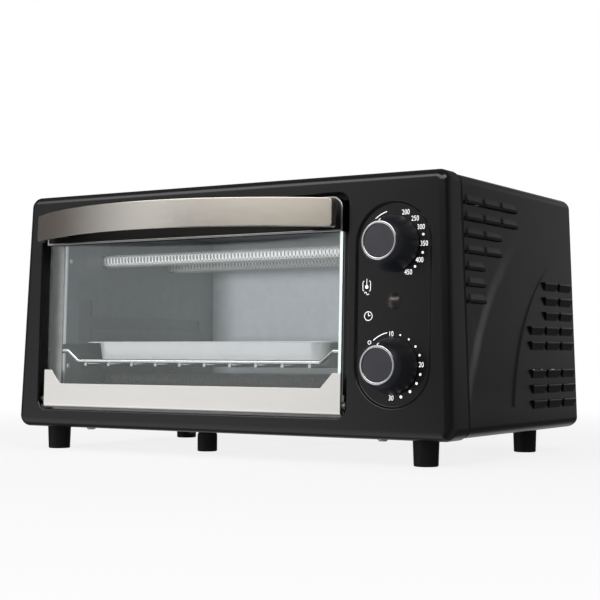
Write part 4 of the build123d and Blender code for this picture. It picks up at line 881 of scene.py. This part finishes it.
# %% Finishes of the pieces that keep their CAD shape
KEPT_PIECES = {
    shell_paint: ("base_plate",),
    cavity_sheet: ("cavity_roof", "cavity_back_wall"),
    blued_sheet: ("crumb_door", "hinge_pin_left", "hinge_pin_right"),
    lead_sleeve: ("control_leads", "heater_jumpers"),
    pan_finish: ("cavity_rivets",),
    zinc: ("rear_screws", "underside_screws", "handle_screws", "control_plate", "timer_bell",
           "hinge_bracket_left", "hinge_bracket_right", "crumb_hinge_pin",
           "temperature_shaft", "timer_shaft"),
    ceramic: ("heater_caps_left", "heater_caps_right"),
    phenolic: ("thermostat", "timer", "lamp_holder"),
    quartz_milk: ("heater_tube_upper_front", "heater_tube_upper_rear"),
    # The lower tubes get the dark quartz as painted shade.
    tube_painted_shade: ("heater_tube_lower_front", "heater_tube_lower_rear"),
}
for finish, names in KEPT_PIECES.items():
    for name in names:
        for place in nodes[name].material_slots:
            place.material = finish
    print(finish.name, "on", len(names), "nodes")

# %% [markdown]
# ## Print on the dials
# The numbers, dots and arcs lie on the floor of the recess behind the knobs. They are drawn flat in
# millimetres round each control's axis, with angles as on a clock, then raised by the thickness of a coat of
# ink and carried onto the tilted floor. A ray sent at the front frame finds how deep that floor lies.
# The pointer mark on each knob is a small grid that rays drop onto the knob's crown.

# %% Where the print lies
INK = 0.05
INK_ROOT = 0.02
PROBE = 23.5
PROBE_LIFT = 10.0

frame_tree = BVHTree.FromBMesh(merged("front_frame"))


def dial_place(joint):
    """A matrix from millimetres round a control's axis to its place on the recess floor."""
    centre = Vector(joints[joint]["pos_m"])
    probe = centre + face_right * PROBE * MM + face_out * PROBE_LIFT * MM
    floor = frame_tree.ray_cast(probe, -face_out)[0]
    depth = (centre - floor).dot(face_out)
    turn = Matrix((face_right, face_up, face_out)).transposed().to_4x4()
    print(joint, "floor lies", round(depth / MM, 2), "mm deep")
    return Matrix.Translation(centre - face_out * depth) @ turn @ Matrix.Scale(MM, 4)


def clock(angle, radius):
    """A point at an angle from twelve o'clock."""
    turn = math.radians(angle)
    return Vector((radius * math.sin(turn), radius * math.cos(turn), 0.0))


# %% Strokes of the print
NUMBER_HEIGHT = 3.3
NUMBER_NARROW = 0.8
CAPITAL_SHARE = 0.71
FIGURE_STEPS = 3
DOT_SIDES = 20
ARC_STEP = 6.0
ARC_LEAST = 6


def draw_number(shape, text, place):
    """A number in plain narrow figures."""
    words = bpy.data.curves.new("figures", "FONT")
    words.body = text
    words.align_x = "CENTER"
    words.align_y = "CENTER"
    words.size = NUMBER_HEIGHT / CAPITAL_SHARE
    words.resolution_u = FIGURE_STEPS
    holder = bpy.data.objects.new("figures", words)
    mesh = bpy.data.meshes.new_from_object(holder)
    mesh.transform(Matrix.Translation(place) @ Matrix.Diagonal((NUMBER_NARROW, 1.0, 1.0, 1.0)))
    shape.from_mesh(mesh)
    bpy.data.meshes.remove(mesh)
    bpy.data.curves.remove(words)


def draw_dot(shape, place, width):
    bmesh.ops.create_circle(shape, cap_ends=True, segments=DOT_SIDES, radius=width / 2,
                            matrix=Matrix.Translation(place))


def draw_arc(shape, centre, radius, width, start, end):
    """Part of a ring between two clock angles."""
    rim = [shape.verts.new(centre + clock(start, radius + side * width / 2)) for side in (-1, 1)]
    edge = shape.edges.new(rim)
    turn = math.radians(start - end)
    steps = max(ARC_LEAST, int(abs(start - end) / ARC_STEP))
    bmesh.ops.spin(shape, geom=rim + [edge], cent=centre, axis=(0.0, 0.0, 1.0), angle=turn, steps=steps,
                   use_merge=abs(start - end) >= 360)


def draw_bar(shape, first, last, width):
    """A straight stroke between two points."""
    way = last - first
    turn = Matrix.Translation((first + last) / 2) @ way.to_track_quat("X", "Z").to_matrix().to_4x4()
    size = Matrix.Diagonal((way.length, width, 1.0, 1.0))
    bmesh.ops.create_grid(shape, x_segments=1, y_segments=1, size=0.5, matrix=turn @ size)


print("figures are", NUMBER_HEIGHT, "mm high")

# %% Temperature dial
TEMPERATURE_RADIUS = 21.2
TEMPERATURE_NUMBERS = {"200": 22.0, "250": 43.5, "300": 62.5, "350": 92.0, "400": 121.5, "450": 151.0}
TEMPERATURE_DOTS = (76.0, 107.5, 135.0)
TEMPERATURE_ARC = (-57.0, -15.0)
DOT_WIDTH = 1.6
ARC_RADIUS = 21.5
LINE = 0.55

dial = bmesh.new()
for text, angle in TEMPERATURE_NUMBERS.items():
    draw_number(dial, text, clock(angle, TEMPERATURE_RADIUS))
for angle in TEMPERATURE_DOTS:
    draw_dot(dial, clock(angle, TEMPERATURE_RADIUS), DOT_WIDTH)
draw_arc(dial, Vector((0.0, 0.0, 0.0)), ARC_RADIUS, LINE, *TEMPERATURE_ARC)
print("temperature dial:", len(TEMPERATURE_NUMBERS), "numbers")

# %% Timer dial
TIMER_RADIUS = 20.3
TIMER_NUMBERS = {"10": -4.0, "20": 87.5, "30": 182.0}
TIMER_DOTS = (15.0, 34.0, 52.5, 70.0, 104.5, 122.0, 141.5, 162.0)
TIMER_ARC = (-41.0, -11.0)
FIRST_DOT = 1.2
DOT_GROWTH = 0.1
NOUGHT_PLACE = clock(-48.6, 22.5)
NOUGHT_RADIUS = 1.1
NOUGHT_LINE = 0.45
FULL_TURN = (0.0, 360.0)

clockwork = bmesh.new()
for text, angle in TIMER_NUMBERS.items():
    draw_number(clockwork, text, clock(angle, TIMER_RADIUS))
for index, angle in enumerate(TIMER_DOTS):
    draw_dot(clockwork, clock(angle, TIMER_RADIUS), FIRST_DOT + DOT_GROWTH * index)
draw_arc(clockwork, Vector((0.0, 0.0, 0.0)), ARC_RADIUS, LINE, *TIMER_ARC)
draw_arc(clockwork, NOUGHT_PLACE, NOUGHT_RADIUS, NOUGHT_LINE, *FULL_TURN)
print("timer dial:", len(TIMER_NUMBERS), "numbers and", len(TIMER_DOTS), "dots")

# %% Clock sign
CLOCK_SIGN = Vector((-18.0, 31.8, 0.0))
CLOCK_HANDS = {0.0: 2.2, 70.0: 1.7}
SIGN_HALF = 2.8
SIGN_LINE = 0.42

draw_arc(clockwork, CLOCK_SIGN, SIGN_HALF, SIGN_LINE, *FULL_TURN)
for angle, length in CLOCK_HANDS.items():
    draw_bar(clockwork, CLOCK_SIGN, CLOCK_SIGN + clock(angle, length), SIGN_LINE)
print("clock sign with", len(CLOCK_HANDS), "hands")

# %% Heat sign
HEAT_SIGN = Vector((-19.5, 51.1, 0.0))
HEAT_SIDE = clock(0.0, 2.2)
HEAT_CORNER = 1.0
CORNER_STARTS = {(1, 1): 0.0, (1, -1): 90.0, (-1, -1): 180.0, (-1, 1): 270.0}
STEM = (0.6, 4.6)
BULB_DROP = 0.6
BULB_WIDTH = 2.4
WAVE_DROP = 4.8
WAVE_RADIUS = 0.8
WAVE_STARTS = {-1: -90.0, 1: 90.0}

for side in (-1, 1):
    edge = HEAT_SIGN + Vector((side * SIGN_HALF, 0.0, 0.0))
    draw_bar(clockwork, edge - HEAT_SIDE, edge + HEAT_SIDE, SIGN_LINE)
for (side, rise), start in CORNER_STARTS.items():
    corner = HEAT_SIGN + Vector((side * (SIGN_HALF - HEAT_CORNER), 0.0, 0.0)) + rise * HEAT_SIDE
    draw_arc(clockwork, corner, HEAT_CORNER, SIGN_LINE, start, start + 90.0)
draw_bar(clockwork, HEAT_SIGN + clock(0.0, STEM[0]), HEAT_SIGN + clock(0.0, STEM[1]), SIGN_LINE)
draw_dot(clockwork, HEAT_SIGN - clock(0.0, BULB_DROP), BULB_WIDTH)
for side, start in WAVE_STARTS.items():
    crest = HEAT_SIGN + Vector((side * WAVE_RADIUS, -WAVE_DROP, 0.0))
    draw_arc(clockwork, crest, WAVE_RADIUS, SIGN_LINE, start, start + 180.0)
print("heat sign with", len(CORNER_STARTS), "round corners")

# %% Ink on the recess floor
STROKE_GAP = 0.001
PRINTS = (
    (dial, "temperature_turn", "temperature_print"),
    (clockwork, "timer_turn", "timer_print"),
)


def lay_ink(shape, place, name, body):
    """Raise a flat drawing by the ink's thickness and carry it to its place."""
    bmesh.ops.remove_doubles(shape, verts=shape.verts, dist=STROKE_GAP)
    bmesh.ops.reverse_faces(shape, faces=[face for face in shape.faces if face.normal.z < 0])
    bmesh.ops.translate(shape, verts=shape.verts, vec=(0.0, 0.0, -INK_ROOT))
    raised = bmesh.ops.extrude_face_region(shape, geom=shape.faces[:])["geom"]
    bmesh.ops.translate(shape, verts=[item for item in raised if isinstance(item, bmesh.types.BMVert)],
                        vec=(0.0, 0.0, INK + INK_ROOT))
    bmesh.ops.transform(shape, matrix=place, verts=shape.verts)
    return finish_piece(name, shape, [print_white], body)


for drawing, joint, name in PRINTS:
    ink = lay_ink(drawing, dial_place(joint), name, "chassis")
    print(ink.name, len(ink.data.polygons), "faces")

# %% Pointer marks on the knobs
MARK_WIDTH = 1.0
MARK_START = 12.6
MARK_END = 13.9
MARK_LIFT = 50.0
MARK_COLUMNS = 3
MARK_ROWS = 8

for control in ("temperature", "timer"):
    crown = BVHTree.FromBMesh(merged(control + "_knob"))
    centre = Vector(joints[control + "_turn"]["pos_m"])
    shape = bmesh.new()
    bmesh.ops.create_grid(shape, x_segments=MARK_COLUMNS, y_segments=MARK_ROWS, size=0.5)
    for vertex in shape.verts:
        across = vertex.co.x * MARK_WIDTH
        up = MARK_START + (vertex.co.y + 0.5) * (MARK_END - MARK_START)
        above = centre + (face_right * across + face_up * up + face_out * MARK_LIFT) * MM
        vertex.co = crown.ray_cast(above, -face_out)[0] + face_out * INK * MM
    bmesh.ops.recalc_face_normals(shape, faces=shape.faces)
    bmesh.ops.reverse_faces(shape, faces=[face for face in shape.faces if face.normal.dot(face_out) < 0])
    mark = finish_piece(control + "_mark", shape, [print_white], control + "_control")
    print(mark.name, len(mark.data.polygons), "faces")

# %% [markdown]
# ## The floor, the light and the white background
# The oven stands on white paper. Near the oven a part of the paper's light is plain and takes the shadow;
# further out the paper only glows, as bright as the background, so no edge shows. The world is white for the
# camera and in reflections, and dimmer as a lamp, so that black paint stays black.

# %% World
WHITE = (1.0, 1.0, 1.0)
AMBIENT = 0.12


def light_paths(finish):
    """1 for rays that come from the eye, a mirror or a pane, 0 for light that spreads."""
    kinds = ("Is Camera Ray", "Is Glossy Ray", "Is Transmission Ray")
    eye, mirrored, through = finish.node("LightPath", {}, {}, output=kinds)
    return finish.math("MINIMUM", eye + mirrored + through, 1.0)


bpy.context.scene.world = bpy.data.worlds.new("studio")
world = Finish(bpy.context.scene.world)
sky = world.node("Background", {}, {
    "Color": WHITE,
    "Strength": world.spread(light_paths(world), AMBIENT, 1.0),
})
world.node("OutputWorld", {}, {"Surface": sky})
print("world lights with", AMBIENT)

# %% Floor
FLOOR_SIZE = 12.0
PAPER_NEAR = 0.25
PAPER_FAR = 0.9
PAPER_GLOW = 0.84
PAPER_TONE = (0.92, 0.92, 0.92)


def paper():
    """White paper whose own glow grows away from the oven."""
    finish = new_finish("paper")
    away = finish.node("VectorMath", {"operation": "LENGTH"}, {0: finish.where()}, output="Value")
    share = finish.spread(finish.step(away, PAPER_NEAR, PAPER_FAR), PAPER_GLOW, 1.0)
    plain = finish.node("BsdfDiffuse", {}, {"Color": PAPER_TONE})
    glow = finish.node("Emission", {}, {"Color": WHITE, "Strength": 1.0})
    both = finish.node("MixShader", {}, {0: share, 1: plain, 2: glow})
    finish.node("OutputMaterial", {}, {"Surface": both})
    return finish.owner


shape = bmesh.new()
bmesh.ops.create_grid(shape, x_segments=1, y_segments=1, size=FLOOR_SIZE / 2,
                      matrix=Matrix.Translation((0.0, 0.0, cad_box[0].z)))
floor = mesh_object("floor", shape, [paper()])
floor.visible_glossy = False
print("floor at", round(cad_box[0].z, 4))

# %% [markdown]
# ## What the oven mirrors
# Black paint and steel show the room around them more than their own colour. In a studio that room is a tent
# with dark and bright parts: dark near the eye and along the right, so that the paint stays black, bright to
# the left of the front and high above it, so that the steel glows, and pale behind. A large ball with those
# tones stands round the oven; only mirrored rays see it, so the light on the oven and the background stay as
# they are. Each list gives the tones round the oven by the angle off its front, with the right-hand side
# positive: near the floor, at the height of the oven and a little above, and high up.

# %% Tones of the studio tent
TENT_FLOOR = (
    (-180, (0.5, 0.5, 0.5)),
    (-130, (0.4, 0.4, 0.4)),
    (-110, (0.1, 0.09, 0.08)),
    (-76, (0.1, 0.09, 0.08)),
    (-56, (0.9, 0.9, 0.9)),
    (-26, (0.9, 0.9, 0.9)),
    (-20, (0.01, 0.01, 0.01)),
    (40, (0.01, 0.01, 0.01)),
    (80, (0.25, 0.25, 0.25)),
    (120, (0.25, 0.25, 0.25)),
    (140, (0.05, 0.05, 0.05)),
    (165, (0.05, 0.05, 0.05)),
    (180, (0.5, 0.5, 0.5)),
)
TENT_LOW = (
    (-180, (0.8, 0.8, 0.8)),
    (-142, (0.7, 0.7, 0.7)),
    (-122, (0.08, 0.07, 0.065)),
    (-76, (0.08, 0.07, 0.065)),
    (-58, (0.3, 0.295, 0.29)),
    (-45, (0.46, 0.46, 0.46)),
    (-32, (0.62, 0.62, 0.62)),
    (-26, (0.56, 0.56, 0.56)),
    (-21, (0.01, 0.01, 0.01)),
    (76, (0.01, 0.01, 0.01)),
    (94, (0.22, 0.22, 0.22)),
    (138, (0.3, 0.3, 0.3)),
    (147, (0.16, 0.16, 0.16)),
    (153, (0.15, 0.15, 0.15)),
    (165, (0.42, 0.42, 0.42)),
    (180, (0.8, 0.8, 0.8)),
)
TENT_HIGH = (
    (-180, (0.1, 0.1, 0.1)),
    (-140, (0.1, 0.1, 0.1)),
    (-118, (0.08, 0.07, 0.065)),
    (-76, (0.08, 0.07, 0.065)),
    (-56, (0.6, 0.59, 0.58)),
    (-28, (0.65, 0.64, 0.63)),
    (-18, (3.0, 2.92, 2.8)),
    (-8, (4.2, 4.07, 3.88)),
    (40, (3.9, 3.66, 3.3)),
    (58, (0.05, 0.05, 0.05)),
    (76, (0.05, 0.05, 0.05)),
    (94, (0.16, 0.16, 0.16)),
    (150, (0.17, 0.17, 0.17)),
    (162, (0.17, 0.17, 0.17)),
    (180, (0.1, 0.1, 0.1)),
)
TENT_ROOF = (0.14, 0.14, 0.14)
print("tent tones at", len(TENT_FLOOR), len(TENT_LOW), len(TENT_HIGH), "angles")

# %% Studio tent
TENT_RADIUS = 2.6
TENT_ROUND = 48
TENT_RINGS = 24
FLOOR_TO_LOW = (-0.25, 0.2)
LOW_TO_HIGH = (0.8, 1.1)
HIGH_TO_ROOF = (1.6, 2.1)


def round_ramp(finish, turn, tones):
    """A ramp that runs once round the oven."""
    stops = [((angle + 180) / 360, tone) for angle, tone in tones]
    return finish.node("ValToRGB", {"stops": stops}, {"Fac": turn})


def tent_cloth():
    """A glow that changes round the oven and with height."""
    finish = new_finish("tent_cloth")
    across, depth, height = finish.node("SeparateXYZ", {}, {"Vector": finish.where()}, output=("X", "Y", "Z"))
    turn = finish.math("ARCTAN2", across, 0 - depth) * (0.5 / math.pi) + 0.5
    ground, low, high = (round_ramp(finish, turn, tones) for tones in (TENT_FLOOR, TENT_LOW, TENT_HIGH))
    wall = finish.mix(finish.step(height, *FLOOR_TO_LOW), ground, low)
    wall = finish.mix(finish.step(height, *LOW_TO_HIGH), wall, high)
    wall = finish.mix(finish.step(height, *HIGH_TO_ROOF), wall, TENT_ROOF)
    glow = finish.node("Emission", {}, {"Color": wall, "Strength": 1.0})
    finish.node("OutputMaterial", {}, {"Surface": glow})
    finish.owner.cycles.emission_sampling = "NONE"
    return finish.owner


shape = bmesh.new()
bmesh.ops.create_uvsphere(shape, u_segments=TENT_ROUND, v_segments=TENT_RINGS, radius=TENT_RADIUS)
tent = mesh_object("tent", shape, [tent_cloth()])
for kind in ("camera", "diffuse", "transmission", "volume_scatter", "shadow"):
    setattr(tent, "visible_" + kind, False)
print("tent of", TENT_RADIUS, "m seen by mirrored rays only")

# %% [markdown]
# ## The lamps
# Four soft boxes light the oven at a plain level: a key at the left, a fill at the right, one above, and a
# far one in front, low enough to reach through the pane to the back of the cavity. The last two are hidden
# from mirrored rays, because their image would be a white patch in the top sheet and in the pane.

# %% Lamps
OVEN_MIDDLE = (cad_box[0] + cad_box[1]) / 2
LAMPS = (
    ("key", (-0.9, -1.3, 1.25), (1.2, 0.9), 8.0, True),
    ("fill", (1.25, -0.75, 1.35), (0.6, 0.6), 6.0, True),
    ("top", (0.0, 0.1, 1.5), (1.0, 1.0), 4.0, False),
    ("front", (-0.25, -2.0, 0.1), (0.3, 0.3), 72.0, False),
)


def soft_box(name, place, size, power, mirrored):
    """A large lamp that looks at the oven, and that mirrored rays may or may not see."""
    lamp = bpy.data.lights.new(name, "AREA")
    lamp.shape = "RECTANGLE"
    lamp.size, lamp.size_y = size
    lamp.energy = power
    holder = bpy.data.objects.new(name, lamp)
    bpy.context.scene.collection.objects.link(holder)
    holder.visible_glossy = mirrored
    way = OVEN_MIDDLE - Vector(place)
    holder.matrix_world = Matrix.Translation(place) @ way.to_track_quat("-Z", "Y").to_matrix().to_4x4()


for lamp in LAMPS:
    soft_box(*lamp)
print(len(LAMPS), "lamps")
